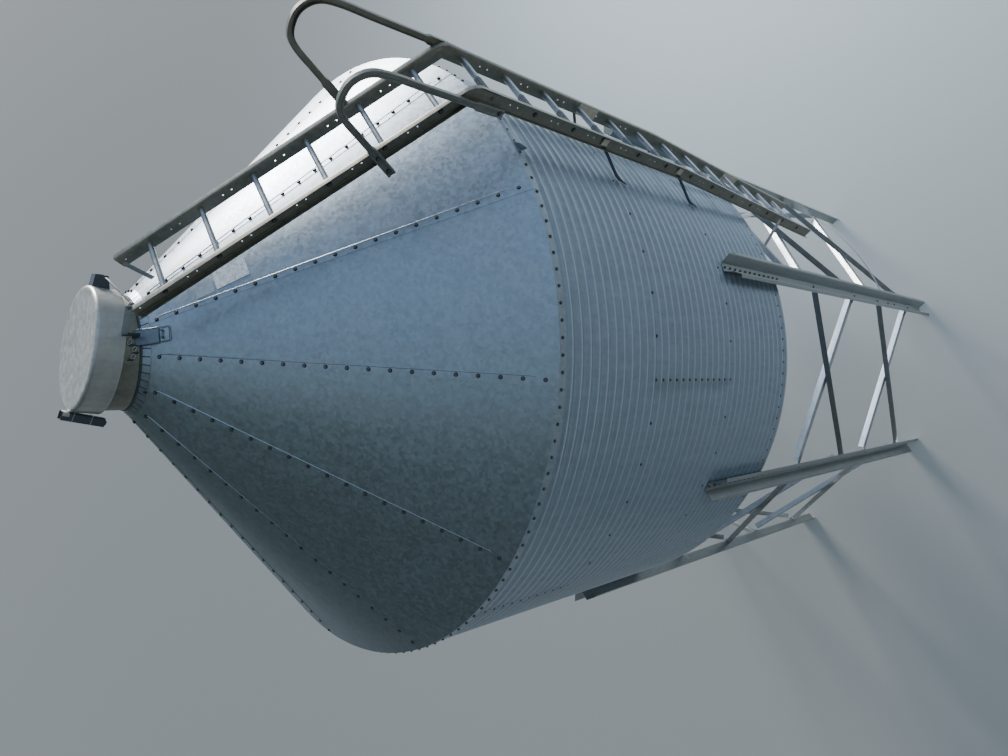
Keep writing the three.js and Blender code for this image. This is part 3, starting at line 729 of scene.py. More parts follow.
def torn_tab():
    """The corner of the lip that is torn loose and folded out over the dented wall."""
    points = [polar(LIP_R + reach, azimuth, EAVE_Z - drop) for reach, azimuth, drop in TORN_TAB]
    points += [point - out(TORN_TAB_AZ) * PANEL_SHEET for point in points]
    sides = [(0, 1, 6, 5), (1, 2, 7, 6), (2, 3, 8, 7), (3, 4, 9, 8), (4, 0, 5, 9)]
    faces = [(0, 4, 1), (1, 4, 2), (2, 4, 3), (5, 6, 9), (6, 7, 9), (7, 8, 9)] + sides
    return Shape().add(points, faces)


roof_panels()
piece("torn_lip_tab", torn_tab(), [ROOF], sharp=10.0)
bolts("roof_bolts", roof_bolts(), ROOF_BOLT)
bolts("eave_bolts", eave_bolts(), WALL_BOLT)


# Hopper and outlet, inside the legs

HOPPER_TOP_R = 1815.0
HOPPER_SHEET = 2.5
HOPPER_BAND = 80.0
HOPPER_INSET = 3.0
HOPPER_LAP = 2.6
HOPPER_LAP_DEG = 0.6
HOPPER_LAP_TOP = RIM_Z - 60
HOPPER_ROWS = 8
HOPPER_COLUMNS = 19
HOPPER_COLUMN = 2.44
HOPPER_BOLT_PITCH = 170.0
OUTLET_NECK = 60.0
OUTLET_FLANGE_R = 262.0
OUTLET_BOLT_R = 233.0
hopper_floor = RIM_Z - (HOPPER_TOP_R - OUTLET_R) * math.tan(HOPPER_SLOPE)


def hopper_radius(z):
    return OUTLET_R + (z - hopper_floor) / math.tan(HOPPER_SLOPE)


def hopper_half(start):
    """The sheet of an eighth of the hopper, which laps over the last one at its start."""
    heights = np.linspace(hopper_floor, RIM_Z, HOPPER_ROWS + 1)
    azimuths = [start - HOPPER_LAP_DEG]
    azimuths += [start + HOPPER_LAP_DEG + HOPPER_COLUMN * i for i in range(HOPPER_COLUMNS)]
    lifts = [HOPPER_LAP] + [0.0] * HOPPER_COLUMNS
    grids = [np.array([[polar(hopper_radius(z) - inset + lift * (z < HOPPER_LAP_TOP), a, z)
                        for a, lift in zip(azimuths, lifts)] for z in heights])
             for inset in (HOPPER_INSET, HOPPER_INSET + HOPPER_SHEET)]
    return shell(*grids)


def hopper():
    outer, inner = HOPPER_TOP_R - 1, HOPPER_TOP_R - 4
    foot, top = RIM_Z - 6, RIM_Z + HOPPER_BAND
    band = [(outer, foot), (outer, top), (inner, top), (inner, foot)]
    for index, first in enumerate(steps_round(SHEETS, SHEET_TURN / 2), 1):
        shape = joined([hopper_half(first), hopper_half(first + SHEET_TURN / 2)])
        shape.join(lathe(band, steps=36, start=first + 0.05, sweep=SHEET_TURN - 0.1))
        name = f"hopper_sector_{index}"
        piece(f"{name}_skin", shape, [HOPPER], nodes=(name,))


def hopper_bolts():
    places = []
    for azimuth in steps_round(2 * SHEETS, SHEET_TURN / 2):
        normal = polar(math.sin(HOPPER_SLOPE), azimuth, -math.cos(HOPPER_SLOPE))
        for z in np.arange(hopper_floor + 90, RIM_Z - 40, HOPPER_BOLT_PITCH):
            places.append((polar(hopper_radius(z) - 1, azimuth, z), normal))
    return places


def outlet():
    """The neck and flange under the hopper, and the places of the flange's bolts."""
    top = hopper_floor - 0.5
    foot, flange = top - OUTLET_NECK, OUTLET_FLANGE_R
    profile = [(OUTLET_R, top), (OUTLET_R, foot + 6), (OUTLET_R + 6, foot), (flange - 2, foot),
               (flange, foot - 2), (flange, foot - 5.5), (flange - 2, foot - 7.5),
               (OUTLET_R - 4, foot - 7.5), (OUTLET_R - 7, foot - 4), (OUTLET_R - 7, top)]
    piece("outlet_neck", lathe(profile), [LEG], nodes=("outlet_collar",))
    return [(polar(OUTLET_BOLT_R, azimuth, z), (0, 0, side))
            for z, side in ((foot, 1), (foot - 7.5, -1)) for azimuth in steps_round(12, 15)]


hopper()
bolts("hopper_bolts", hopper_bolts() + outlet(), WALL_BOLT)


# Fill collar: a neck with a rolled edge, a flange of bent tabs and a hinge pin on each side

TAB_COUNT = 48
TAB_GAP_DEG = 1.0
TAB_SHEET = 2.5
TAB_LIFT = 2.2
TAB_BOLT_R = TAB_R - 8
TAB_BOLT_LIFT = 4.6
BOLTED_TABS = (5, 6, 7, 23, 24, 37)
COLLAR_SHEET = 3.0
# In from the collar's outside and down from its top
ROLLED_EDGE = ((0, 3), (1, 0.8), (4, 0), (7, 2), (8, 6), (COLLAR_SHEET, 14))
hinge_frame = facing_out(HINGE_R, HINGE_AZ, HINGE_Z)
HASP_AZ = 242.5
HASP_FOOT_R = 363.0
# The hasp's wires and studs, in a frame on the roof at its foot: +X down the slope
HASP_LOOP = ((2, 36, 4), (46, 36, 4), (50, 32, 4), (50, -32, 4), (46, -36, 4), (2, -36, 4))
HASP_ROD = ((12, -24, 4), (12, 24, 4))
HASP_STUDS = (-16, 20)
# Azimuth of each link and its height over the eave
CHAIN_LINKS = ((238.0, 1352), (235.0, 1341), (231.6, 1333), (228.0, 1325), (224.6, 1338),
               (221.6, 1347))
CHAIN_ROLLS = (15, 70)


def fill_collar():
    """The collar with its ring of tabs, and the places of the bolts that are left in it."""
    foot = roof_z(COLLAR_R) - 30
    neck = [(COLLAR_R - inwards, COLLAR_TOP - down) for inwards, down in ROLLED_EDGE]
    neck += [(COLLAR_R - COLLAR_SHEET, foot), (COLLAR_R, foot)]
    shape = lathe(neck, steps=FINE_STEPS)
    step = 360.0 / TAB_COUNT
    tab = [(r, roof_z(r) + TAB_LIFT + TAB_SHEET + up)
           for r, up in ((COLLAR_R - 1, 9.0), (COLLAR_R + 2.5, 3.2), (COLLAR_R + 6, 0.6),
                         (TAB_R - 1, 0.0))]
    tab += [(r + 1.2, z - TAB_SHEET) for r, z in reversed(tab)]
    for k in range(TAB_COUNT):
        start = LADDER_AZ + step * k + TAB_GAP_DEG / 2
        shape.join(lathe(tab, steps=2, start=start, sweep=step - TAB_GAP_DEG, number=1))
    shape.join(hinge_pins())
    bead = roof_z(COLLAR_R) + TAB_LIFT + TAB_SHEET
    # A dark bead round the collar's foot
    dark_foot_bead = [(COLLAR_R + x, bead + up) for x, up in ((-1, 0), (5, 0), (4, 9), (-1, 12))]
    # A dark ring under the tabs, so the gaps between them show dark: painted shade
    edge = TAB_R - 2
    under = [(r, roof_z(r) + up) for r, up in ((COLLAR_R, 0.2), (edge, 0.2), (edge, 3.4),
                                               (COLLAR_R, 3.4))]
    for profile in (dark_foot_bead, under):
        shape.join(lathe(profile, number=2))
    piece("fill_collar_neck", shape, [COLLAR, ROOF, DARK], nodes=("fill_collar",))
    return [on_roof(TAB_BOLT_R, LADDER_AZ + step * (k + 0.5), TAB_BOLT_LIFT) for k in BOLTED_TABS]


def hinge_pins():
    root = math.sqrt(COLLAR_R ** 2 - HINGE_R ** 2) - 4
    return joined([run(circle(PIN_R, 16), [(0, side * root, 0), (0, side * PIN_TIP, 0)], UP)
                   for side in SIDES], hinge_frame)


def hasp():
    """A plate from the collar's side down to the roof, with a wire frame hinged to its edge."""
    slope = [polar(COLLAR_R + 2, HASP_AZ, roof_z(COLLAR_R) + 34),
             polar(HASP_FOOT_R, HASP_AZ, roof_z(HASP_FOOT_R) + 8)]
    shape = run(oblong(82, 3, 0.8), slope, UP)
    across = np.cross(out(HASP_AZ), UP)
    for side in SIDES:
        edge = Matrix.Translation(Vector(side * 36 * across + (0, 0, 3)))
        shape.join(run(oblong(6, 3.5, 0.8), slope, UP), edge)
    hasp_foot = cone_frame(HASP_FOOT_R, HASP_AZ, 4.0)
    for wire in (HASP_LOOP, HASP_ROD):
        shape.join(run(circle(2.5, 8), wire, UP), hasp_foot)
    for y in HASP_STUDS:
        shape.join(run(circle(5.0, 12), [(12, y, -4), (12, y, 9)], FORTH, number=1), hasp_foot)
    return shape


def chain():
    """Six links of the lid's chain, where they lie against the side of the collar."""
    shape = Shape()
    ring = [(14 * math.cos(a), 8.5 * math.sin(a), 0.0)
            for a in np.linspace(0, 2 * math.pi, 15)[:-1]]
    for k, (azimuth, z) in enumerate(CHAIN_LINKS):
        link = run(circle(2.8, 6), ring + ring[:1], UP, number=k % 2)
        roll = turned(CHAIN_ROLLS[k % 2], "X") @ turned(60)
        shape.join(link, facing_out(COLLAR_R + 9, azimuth, EAVE_Z + z) @ turned(90, "Y") @ roll)
    return shape


bolts("collar_bolts", fill_collar(), WALL_BOLT)


# Lid, drawn shut about its hinge and then turned to the tilt at which it stands

lid_matrix = np.array(hinge_frame) @ np.array(turned(LID_TILT, "Y"))
LID_FACE = LID_TOP - HINGE_Z
LID_SHEET = 2.0
LID_EDGE = 17.0
# The corner of the lid's profile from which its outside is bright sheet
SKIRT_FROM = 8


def lid_profile(inset):
    """Radius and height down the lid's outside, from its middle to the skirt's lower edge."""
    line = [(0.01, LID_FACE - 4), (150, LID_FACE - 3), (268, LID_FACE - 2), (288, LID_FACE - 1)]
    for k in range(9):
        a = math.pi / 2 * k / 8
        line.append((LID_R - 1 - LID_EDGE + LID_EDGE * math.sin(a),
                     LID_FACE - 1 - LID_EDGE * (1 - math.cos(a))))
    line += [(LID_R - 1, LID_FACE - 60), (LID_R - 1, LID_FACE - LID_DEPTH + 10),
             (LID_R, LID_FACE - LID_DEPTH + 4), (LID_R - 0.5, LID_FACE - LID_DEPTH + 0.5)]
    return [(max(r - inset, 0.01), z - inset * (z > LID_FACE - 30)) for r, z in line]


def lid_shell():
    outer, inner = lid_profile(0.0), lid_profile(LID_SHEET)
    shape = lathe(outer + inner[::-1], steps=FINE_STEPS)
    corners = len(outer) + len(inner)
    shape.numbers = [2 if SKIRT_FROM <= k % corners < len(outer) else 0
                     for k in range(len(shape.faces))]
    return Shape().join(shape, Matrix.Translation((-HINGE_R, 0, 0)))


UPRIGHT = turned(90, "X")
BRACKET_W = 74.0
BRACKET_SHEET = 3.0
# Out from the lid's skirt and down from its face, for the rod's bends with the distance across
# between the two
BRACKET_SIDE = ((-3, 98), (60, 83), (57, 26), (-3, 20))
ROD_BENDS = ((46, 0, 66), (47, 30, 67), (46, 52, 72))


def lid_bracket():
    """A folded bracket on the skirt and a bent rod from it to the pin on each side."""
    edge = LID_R - HINGE_R
    side = [(edge + reach, LID_FACE - drop) for reach, drop in BRACKET_SIDE]
    top = [(edge - 2, 0, LID_FACE - 20.5), (edge + 57, 0, LID_FACE - 26.5)]
    front = [(edge + 57, 0, LID_FACE - 26), (edge + 60, 0, LID_FACE - 60)]
    shape = run(oblong(BRACKET_W, BRACKET_SHEET, 0.5), top, UP, number=1)
    shape.join(run(oblong(BRACKET_SHEET, BRACKET_W, 0.5), front, (0, 1, 0), number=1))
    eye_ring = [(PIN_R + 0.8, -5), (14, -5), (15, 0), (14, 5), (PIN_R + 0.8, 5)]
    for hand in SIDES:
        shift = Matrix.Translation((0, hand * (BRACKET_W - BRACKET_SHEET) / 2, 0))
        shape.join(plate(side, BRACKET_SHEET, number=1), shift @ UPRIGHT)
        eye = hand * (PIN_TIP - 9)
        path = [(edge + reach, hand * y, LID_FACE - drop) for reach, y, drop in ROD_BENDS]
        path += [(22, eye - hand * 6, 22), (13, eye, 11)]
        shape.join(run(circle(4.6, 10), path, (0, 0.1, 1)))
        shape.join(lathe(eye_ring, steps=20), Matrix.Translation((0, eye, 0)) @ UPRIGHT)
    return shape


LATCH_LEAN = deg(7)
LATCH_LENGTH = 196.0
LATCH_DEPTH = 44.0
# Down the bar and out from it
LATCH_HOOK = ((170, 8), (196, 8), (203, 12), (205, 20), (203, 32), (196, 40), (186, 42), (184, 30),
              (170, 26))


def latch_bar():
    """A channel bar, open outwards, that leans on the lid's edge, with a hook at its foot."""
    start = -HINGE_R - LID_R - 0.5 + LATCH_DEPTH * math.tan(LATCH_LEAN)
    line = [(-28.5, LATCH_DEPTH), (-28.5, 1.5), (28.5, 1.5), (28.5, LATCH_DEPTH)]
    top = np.array([start, 0, LID_FACE + 21])
    direction = np.array([-math.sin(LATCH_LEAN), 0, -math.cos(LATCH_LEAN)])
    shape = run(folded(line, 3.0, 7.0), [top, top + LATCH_LENGTH * direction], (-1, 0, 0))
    # +X across the bar, +Y outwards from the lid and -Z down the bar
    on_bar = axes(ACROSS, np.cross(-direction, ACROSS), -direction, top)
    for side in SIDES:
        cheek = [(side * across, depth, -length) for across in (25.5, 22.5)
                 for length, depth in LATCH_HOOK]
        shape.join(tube(cheek, len(LATCH_HOOK)), on_bar)
    return shape.join(latch_clip(), on_bar)


def latch_clip():
    """A pale clip over the bar's head and two loops of wire round the bar."""
    clip = [(-30.5, 20), (-30.5, -1.5), (30.5, -1.5), (30.5, 20)]
    shape = run(folded(clip, 2.0, 6.0), [(0, 2, -4), (0, 2, -34)], (0, 1, 0), number=1)
    for at in (50, 132):
        loop = [(-31, 46, -at), (-32, -3, -at - 4), (32, -3, -at - 8), (31, 46, -at - 10)]
        shape.join(run(circle(1.6, 6), loop, UP, number=1))
    return shape


whole_lid = Shape().join(lid_shell().join(lid_bracket()), lid_matrix)
piece("lid_shell", whole_lid, [LID_ZINC, STRAP, LID_SKIRT], body=LID, nodes=("lid",))
piece("latch_bar", Shape().join(latch_bar(), lid_matrix), [DARK, LID_ZINC],
      body=LID, nodes=("lid_latch_bar",))
piece("hasp_plate", hasp(), [HASP, BOLT])
piece("lid_chain", chain(), [LID_ZINC, DARK])


# Legs: flared channels of folded sheet, with bolts to the wall and to the braces

def leg_line():
    """The middle of the leg's sheet: web, flared flanges, and lips folded back square to them."""
    web = np.array([2, LEG_WEB / 2])
    mouth = np.array([LEG_DEPTH - 2, LEG_MOUTH / 2])
    flange = unit(mouth - web)
    lip = mouth + LEG_LIP * np.array([-flange[1], flange[0]])
    half = [lip, mouth, web]
    return [(x, -y) for x, y in half] + [(x, y) for x, y in half[::-1]]


LIP_BACK = 85.0
LEG_BOLT_OUT = 4.6
WEB_BOLTS = [z for span in SPANS.values() for z in span] + [EAVE_Z - 4821, EAVE_Z - 5005]


def leg(name, azimuth):
    outline = folded(leg_line(), LEG_SHEET, 7.0)
    points = [(x, y, LEG_TOP * k / 12) for k in range(12) for x, y in outline]
    points += [(x, y, LEG_TOP - LIP_BACK * (abs(y) > LEG_MOUTH / 2 + 4)) for x, y in outline]
    shape = Shape().join(tube(points, len(outline)), facing_out(WALL_R + 0.5, azimuth))
    piece(f"{name}_channel", shape, [LEG], nodes=(name,))


def leg_bolts():
    """A bolt in every corrugation behind each leg, and one at each brace's end."""
    heights = [RIM_Z + PITCH * (k + 0.10) for k in range(12)] + WEB_BOLTS
    return [on_wall(WALL_R + LEG_BOLT_OUT, azimuth, z)
            for azimuth in steps_round(LEGS, LEG_AZ) for z in heights]


for index, azimuth in enumerate(steps_round(LEGS, LEG_AZ), 1):
    leg(f"leg_{index}", azimuth)
bolts("leg_bolts", leg_bolts(), LEG_BOLT)


# Braces: in each bay two angle bars cross, the one with its flange outwards in front. Both have
# their flange at the upper edge

BRACE_SHEET = 3.0
OUTWARD_ANGLE = [(-BRACE_W / 2, 1.5), (BRACE_W / 2 - 1.5, 1.5), (BRACE_W / 2 - 1.5, 4 - BRACE_W)]
INWARD_ANGLE = [(BRACE_W / 2, 1.5), (1.5 - BRACE_W / 2, 1.5), (1.5 - BRACE_W / 2, BRACE_W)]
TAB_LENGTH = 50.0
BAR_TRIM = 34.0
CROSSING_GAP = 5.0


def bay_bar(side, start_z, end_z, lift, flange_out):
    """An angle bar across a bay, in the bay's frame with +X out through its middle."""
    half = LEG_STEP / 2
    radius = WALL_R - 3 - lift
    start, end = polar(radius, side * half, start_z), polar(radius, -side * half, end_z)
    along = unit(end - start)
    outline = folded(OUTWARD_ANGLE if flange_out else INWARD_ANGLE, BRACE_SHEET, 4.0)
    shape = run(outline, [start + along * BAR_TRIM, end - along * BAR_TRIM], (-1, 0, 0))
    for point, turn, inward in ((start, side, along), (end, -side, -along)):
        tab = oblong(BRACE_W - 2, BRACE_SHEET, 0.5)
        tip = polar(radius - 0.5, turn * half, point[2]) - 8 * inward
        shape.join(run(tab, [tip, point + inward * TAB_LENGTH], out(turn * half * 0.8)))
    return shape


def braces():
    for name, (top, foot) in SPANS.items():
        for index, azimuth in enumerate(steps_round(LEGS, LEG_AZ + LEG_STEP / 2), 1):
            bars = [bay_bar(-1, top, foot, CROSSING_GAP, False), bay_bar(1, top, foot, 0.0, True)]
            node = f"brace_{name}_{index}"
            piece(f"{node}_bars", joined(bars, turned(azimuth)), [BRACE],
                  nodes=(node,))


braces()


# Ladder. Its frame: x out from the bin's axis, y across, z up

LADDER_TURN = turned(LADDER_AZ)
RAIL_SHEET = 3.0
RAIL_HOLE_R = 4.5
RUNG_REACH = RAIL_INNER + 1
STANDOFF_AZ = 7.6
# Out and up from the middle of the rail, then out, across and up from the foot on the wall
STANDOFF_HEAD = ((34, 36), (-14, -22))
STANDOFF_FOOT = ((21, -10, 30), (8, -2, -4), (5, 2, -34), (6, 16, -46), (7, 26, -38))
# The height of each stand-off on the rail and of its foot on the wall
STANDOFFS = ((EAVE_Z - 645, EAVE_Z - 846), (EAVE_Z - 1399, EAVE_Z - 1612))
# Stations before the knee, with the share of the rail's outer half that is left at each
KNEE_EASE = ((38.0, 1.0), (22.0, 0.97), (0.4, 0.66))


def in_ladder(*shapes):
    """Joins shapes and turns them from the ladder's frame to its side of the bin."""
    return joined(shapes, LADDER_TURN)


def flat(point, y=0.0):
    return np.array([point[0], y, point[1]])


def bar_path(point, start, end):
    """A path across the ladder at one of its points."""
    return [flat(point, start), flat(point, end)]


def between(a, b, share):
    return (a[0] + (b[0] - a[0]) * share, a[1] + (b[1] - a[1]) * share)


def away(a, b, distance):
    """The point a distance from a towards b."""
    return between(a, b, distance / math.dist(a, b))


def outward_of(a, b):
    return np.cross(unit(flat(b) - flat(a)), ACROSS)


def rail_outline(side):
    """A channel whose web faces the rungs, drawn with the ladder's y as its first axis."""
    h, inner, outer = RAIL_H / 2 - 1.5, RAIL_INNER + 1.5, RAIL_OUTER
    line = [(side * outer, -h), (side * inner, -h), (side * inner, h), (side * outer, h)]
    return folded(line, RAIL_SHEET, 5.0)


def along_rail(outline, path, eases=None, slants=None, number=0):
    """Sweeps an outline of y and height along ladder points; eases lower its outer half."""
    points = []
    for k, point in enumerate(path):
        top = outward_of(*around(path, k))
        along = np.cross(ACROSS, top)
        ease = eases[k] if eases else 1.0
        slant = slants[k] if slants else 0.0
        for y, h in outline:
            height = h * ease if h > 0 else h
            points.append(flat(point, y) + top * height + along * slant * height)
    return tube(points, len(outline), number)


def strip(y, half, low, high):
    """The outline of a flat strip that lies along a rail's web."""
    return [(y - half, low), (y + half, low), (y + half, high), (y - half, high)]


def rail_holes(a, b, offset, pitch, gap=50.0):
    """Pairs of holes through both rails between two ladder points."""
    shape = Shape()
    for station in np.arange(offset, math.dist(a, b) - 40, pitch):
        for shift in (-gap / 2, gap / 2):
            point = away(a, b, station + shift)
            for side in SIDES:
                ends = bar_path(point, side * (RAIL_INNER - 12), side * (RAIL_INNER + 12))
                shape.join(run(circle(RAIL_HOLE_R, 8), ends, UP))
    return shape


def rung_bolts(points):
    """The bolt at each end of every rung, on the outside of the rails' webs."""
    return [(flat(point, side * (RAIL_INNER + 3.5)), side * ACROSS)
            for point in points for side in SIDES]


def plain_rung(point):
    return run(circle(13.5, 14), bar_path(point, -RUNG_REACH, RUNG_REACH), UP)


def ridged_rung(point):
    """A squarish tube with a row of ridges round its tread, on the half towards the left rail; the
    ridges are a dark zinc as painted shade.
    """
    section = [(-9, -13), (9, -13), (13, -9), (13, 9), (9, 13), (-9, 13), (-13, 9), (-13, -9)]
    shape = run(section, bar_path(point, -RUNG_REACH, RUNG_REACH), FORTH)
    ridge = [(x * 1.13, y * 1.13) for x, y in section]
    for y in range(14 - int(RAIL_INNER), -8, 13):
        shape.join(run(ridge, bar_path(point, y - 2.6, y + 2.6), FORTH, number=1))
    return shape


def knee_slant():
    """How far the mitre at the knee leans, per millimetre off the rail's middle."""
    roof_run = unit(np.subtract(RAIL_KNEE, ROOF_RAIL_HEAD))
    side_run = unit(np.subtract(SIDE_RAIL_BEND, RAIL_KNEE))
    return math.tan(math.acos(roof_run @ side_run) / 2)


def side_rho(z):
    """How far out the side ladder's rails are at a height."""
    upper = z > SIDE_RAIL_BEND[1]
    a, b = (RAIL_KNEE, SIDE_RAIL_BEND) if upper else (SIDE_RAIL_BEND, SIDE_RAIL_FOOT)
    return between(a, b, (z - a[1]) / (b[1] - a[1]))[0]


def rails(name, stations, eases, slants, holes):
    """The two rails of one ladder, with the holes through their webs."""
    pair = [along_rail(rail_outline(side), stations, eases, slants) for side in SIDES]
    piece(f"{name}_rails", in_ladder(*pair), [RAIL_DUST_AND_PAINTED_REFLECTION], nodes=(name,),
          cutters=in_ladder(holes))


def roof_ladder():
    """The ladder over the roof; gives the places of its rungs."""
    distances, lowered = zip(*KNEE_EASE)
    stations = [ROOF_RAIL_HEAD] + [away(RAIL_KNEE, ROOF_RAIL_HEAD, d) for d in distances]
    slants = [0.0] * (len(stations) - 1) + [knee_slant()]
    holes = rail_holes(ROOF_RAIL_HEAD, RAIL_KNEE, ROOF_RUNG_FIRST + ROOF_RUNG_PITCH / 2,
                       ROOF_RUNG_PITCH)
    holes.join(rail_holes(ROOF_RAIL_HEAD, between(ROOF_RAIL_HEAD, RAIL_KNEE, 0.05), 38, 200,
                          gap=0.0))
    rails("roof_ladder", stations, [1.0, *lowered], slants, holes)
    rungs = [away(ROOF_RAIL_HEAD, RAIL_KNEE, ROOF_RUNG_FIRST + k * ROOF_RUNG_PITCH)
             for k in range(ROOF_RUNGS)]
    bars = in_ladder(*[plain_rung(point) for point in rungs], head_plates())
    piece("roof_ladder_rungs", bars, [RUNG, STRAP, ROOF])
    return rungs


HEAD_SHEET = 4.0
# Width, the direction up, the material's number, and the two ends as out, across and over the eave
HEAD_STRIPS = (
    (28, UP, 2, (500, -166, 1408), (301, -152, 1383)),
    # The hanger's two strips, down the collar's side and in to it, are dark strap steel as painted
    # shade
    (24, FORTH, 1, (301, -152, 1392), (301, -152, 1314)),
    (24, UP, 1, (301, -152, 1326), (262, -132, 1326)),
    (24, FORTH, 0, (466, 164, 1366), (391, 158, 1214)),
)


def head_plates():
    """The strips from the rails' heads: to the collar's side on the left, to the roof on the
    right."""
    shape = Shape()
    for width, up, number, *ends in HEAD_STRIPS:
        path = [(rho, y, EAVE_Z + z) for rho, y, z in ends]
        shape.join(run(oblong(HEAD_SHEET, width, 0.8), path, up, number=number))
    return shape


def side_ladder():
    """The ladder down the wall; gives the places of its rungs."""
    distances, lowered = zip(*reversed(KNEE_EASE))
    stations = [away(RAIL_KNEE, SIDE_RAIL_BEND, d) for d in distances]
    stations += [SIDE_RAIL_BEND, SIDE_RAIL_FOOT]
    slants = [-knee_slant()] + [0.0] * (len(stations) - 1)
    first = RAIL_KNEE[1] - SIDE_RUNG_FIRST + SIDE_RUNG_PITCH / 2
    holes = rail_holes(RAIL_KNEE, SIDE_RAIL_BEND, first, SIDE_RUNG_PITCH)
    holes.join(rail_holes(SIDE_RAIL_BEND, SIDE_RAIL_FOOT, SIDE_RUNG_PITCH * 0.97,
                          SIDE_RUNG_PITCH))
    rails("side_ladder", stations, [*lowered, 1.0, 1.0], slants, holes)
    heights = [SIDE_RUNG_FIRST - k * SIDE_RUNG_PITCH for k in range(SIDE_RUNGS)]
    rungs = [(side_rho(z), z) for z in heights]
    bars = in_ladder(*[ridged_rung(point) for point in rungs])
    piece("side_ladder_rungs", bars, [RUNG, RIDGE_PAINTED_SHADE])
    return rungs


def standoff(side, rail_z, foot_z):
    """A strap from a plate on the rail to the wall, with its foot turned up like a hook."""
    rail = np.array([side_rho(rail_z) - RAIL_H / 4, side * (RAIL_INNER + 6), rail_z])
    foot = polar(WALL_R, side * STANDOFF_AZ, foot_z)
    line = [rail + (x, 0, z) for x, z in STANDOFF_HEAD]
    line += [foot + (x, side * y, z) for x, y, z in STANDOFF_FOOT]
    return run(oblong(5, 17, 1.2), line, (0, -side * 0.2, 1))


def standoff_plate(side, rail_z):
    """The small plate that holds a stand-off to the rail, pale with painted sunlight."""
    web = strip(side * (RAIL_INNER + 9.5), 1.5, -19, 19)
    return along_rail(web, [(side_rho(rail_z + h), rail_z + h) for h in (30, -18)])


def splice(side):
    """The plate that joins the two rails at the knee, inside the channel."""
    path = [away(RAIL_KNEE, ROOF_RAIL_HEAD, d) for d in (120, 20)] + [RAIL_KNEE]
    path += [away(RAIL_KNEE, SIDE_RAIL_BEND, d) for d in (20, 150)]
    return along_rail(strip(side * (RAIL_INNER + 5.5), 1.7, -24, 22), path, number=1)


# Where the two lengths of the side rails meet, with a plate over each joint in a paler zinc:
# painted sunlight
RAIL_JOINTS = ((EAVE_Z - 668, EAVE_Z - 826), (EAVE_Z - 2385, EAVE_Z - 2585))


def joint_plates():
    """The plates over the joints of the right rail, on its inside."""
    web = strip(RAIL_INNER - 2.2, 1.5, -31, 31)
    return joined(along_rail(web, [(side_rho(z), z) for z in ends]) for ends in RAIL_JOINTS)


rung_points = roof_ladder() + side_ladder()
straps = Shape()
splices = joined([splice(-1), splice(1), joint_plates()])
for side in SIDES:
    for rail_z, foot_z in STANDOFFS:
        straps.join(standoff(side, rail_z, foot_z))
        splices.join(standoff_plate(side, rail_z))
piece("ladder_standoffs", in_ladder(straps), [STRAP])
piece("ladder_splices", in_ladder(splices), [PLATE_PAINTED_SUNLIGHT, RAIL_DUST_AND_PAINTED_REFLECTION])
bolts("ladder_bolts", rung_bolts(rung_points), RUNG_BOLT, LADDER_TURN)


# Grab hoops over the eave: a flat channel with two ridges, bent to a smooth curve

SPLINE_STEPS = 24


def spline(points, count):
    """Points evenly spread along a smooth curve through the given ones."""
    p = np.array(points, float)
    p = np.vstack([2 * p[0] - p[1], p, 2 * p[-1] - p[-2]])
    t = np.linspace(0, 1, SPLINE_STEPS, endpoint=False)[:, None]
    spans = [0.5 * (2 * b + (c - a) * t + (2 * a - 5 * b + 4 * c - d) * t ** 2
                    + (3 * b - a - 3 * c + d) * t ** 3)
             for a, b, c, d in zip(p, p[1:], p[2:], p[3:])]
    fine = np.vstack([*spans, p[-2]])
    travelled = np.append(0, np.cumsum(np.linalg.norm(np.diff(fine, axis=0), axis=1)))
    marks = np.linspace(0, travelled[-1], count)
    return np.stack([np.interp(marks, travelled, column) for column in fine.T], axis=1)


HOOP_STATIONS = 90
HOOP_FLAT_STATIONS = 5
HOOP_SLIM = 0.72
HOOP_WIDE_STATIONS = 12
HOOP_INNER = RAIL_OUTER + 2
# Across the bar in the hoop's plane, and away from the rail
HOOP_SECTION = [(-21, 0), (-21, 20), (-19, 22), (-9, 22), (-7, 19), (7, 19), (9, 22), (19, 22),
                (21, 20), (21, 0), (18, 0), (18, 17), (-18, 17), (-18, 0)]


def hoop(side, name):
    """One hoop, slimmer in its bend and flattened to its foot; gives the places of its bolts."""
    out_by, up_by = RIGHT_HOOP_SHIFT if side > 0 else (0.0, 0.0)
    path = spline([(r + out_by, EAVE_Z + z + up_by) for r, z in HOOP_POINTS], HOOP_STATIONS)
    last = len(path) - 1
    points = []
    for k, point in enumerate(path):
        top = outward_of(*around(path, k))
        depth = 0.3 + 0.7 * min(last - k, HOOP_FLAT_STATIONS) / HOOP_FLAT_STATIONS
        width = 1.0 if min(k, last - k) < HOOP_WIDE_STATIONS else HOOP_SLIM
        points += [flat(point, side * (HOOP_INNER + y * depth)) + top * h * width
                   for h, y in HOOP_SECTION]
    shape = in_ladder(tube(points, len(HOOP_SECTION)))
    piece(f"{name}_bar", shape, [HOOP], nodes=(name,))
    ends = [(path[2], 20), (path[8], 20), (path[-3], 12)]
    return [(flat(point, side * (HOOP_INNER + depth)), side * ACROSS) for point, depth in ends]


hoop_bolts = hoop(-1, "grab_hoop_left") + hoop(1, "grab_hoop_right")
bolts("hoop_bolts", hoop_bolts, RUNG_BOLT, LADDER_TURN)


# A bare label plate and a smaller one beside it, on the roof next to the ladder: radius,
# azimuth, length and width of each

LABELS = ((673.0, 264.5, 176.0, 112.0), (560.0, 262.0, 96.0, 64.0))


def labels():
    shape = Shape()
    for number, (radius, azimuth, length, width) in enumerate(LABELS):
        x, y = length / 2, width / 2
        outline = [(-x, -y), (x, -y), (x, y), (-x, y)]
        shape.join(plate(outline, 1.2, number=number), cone_frame(radius, azimuth, 1.6))
    return shape


piece("roof_labels", labels(), [LABEL, LABEL_OLD])


# Ties between the two legs beside the ladder

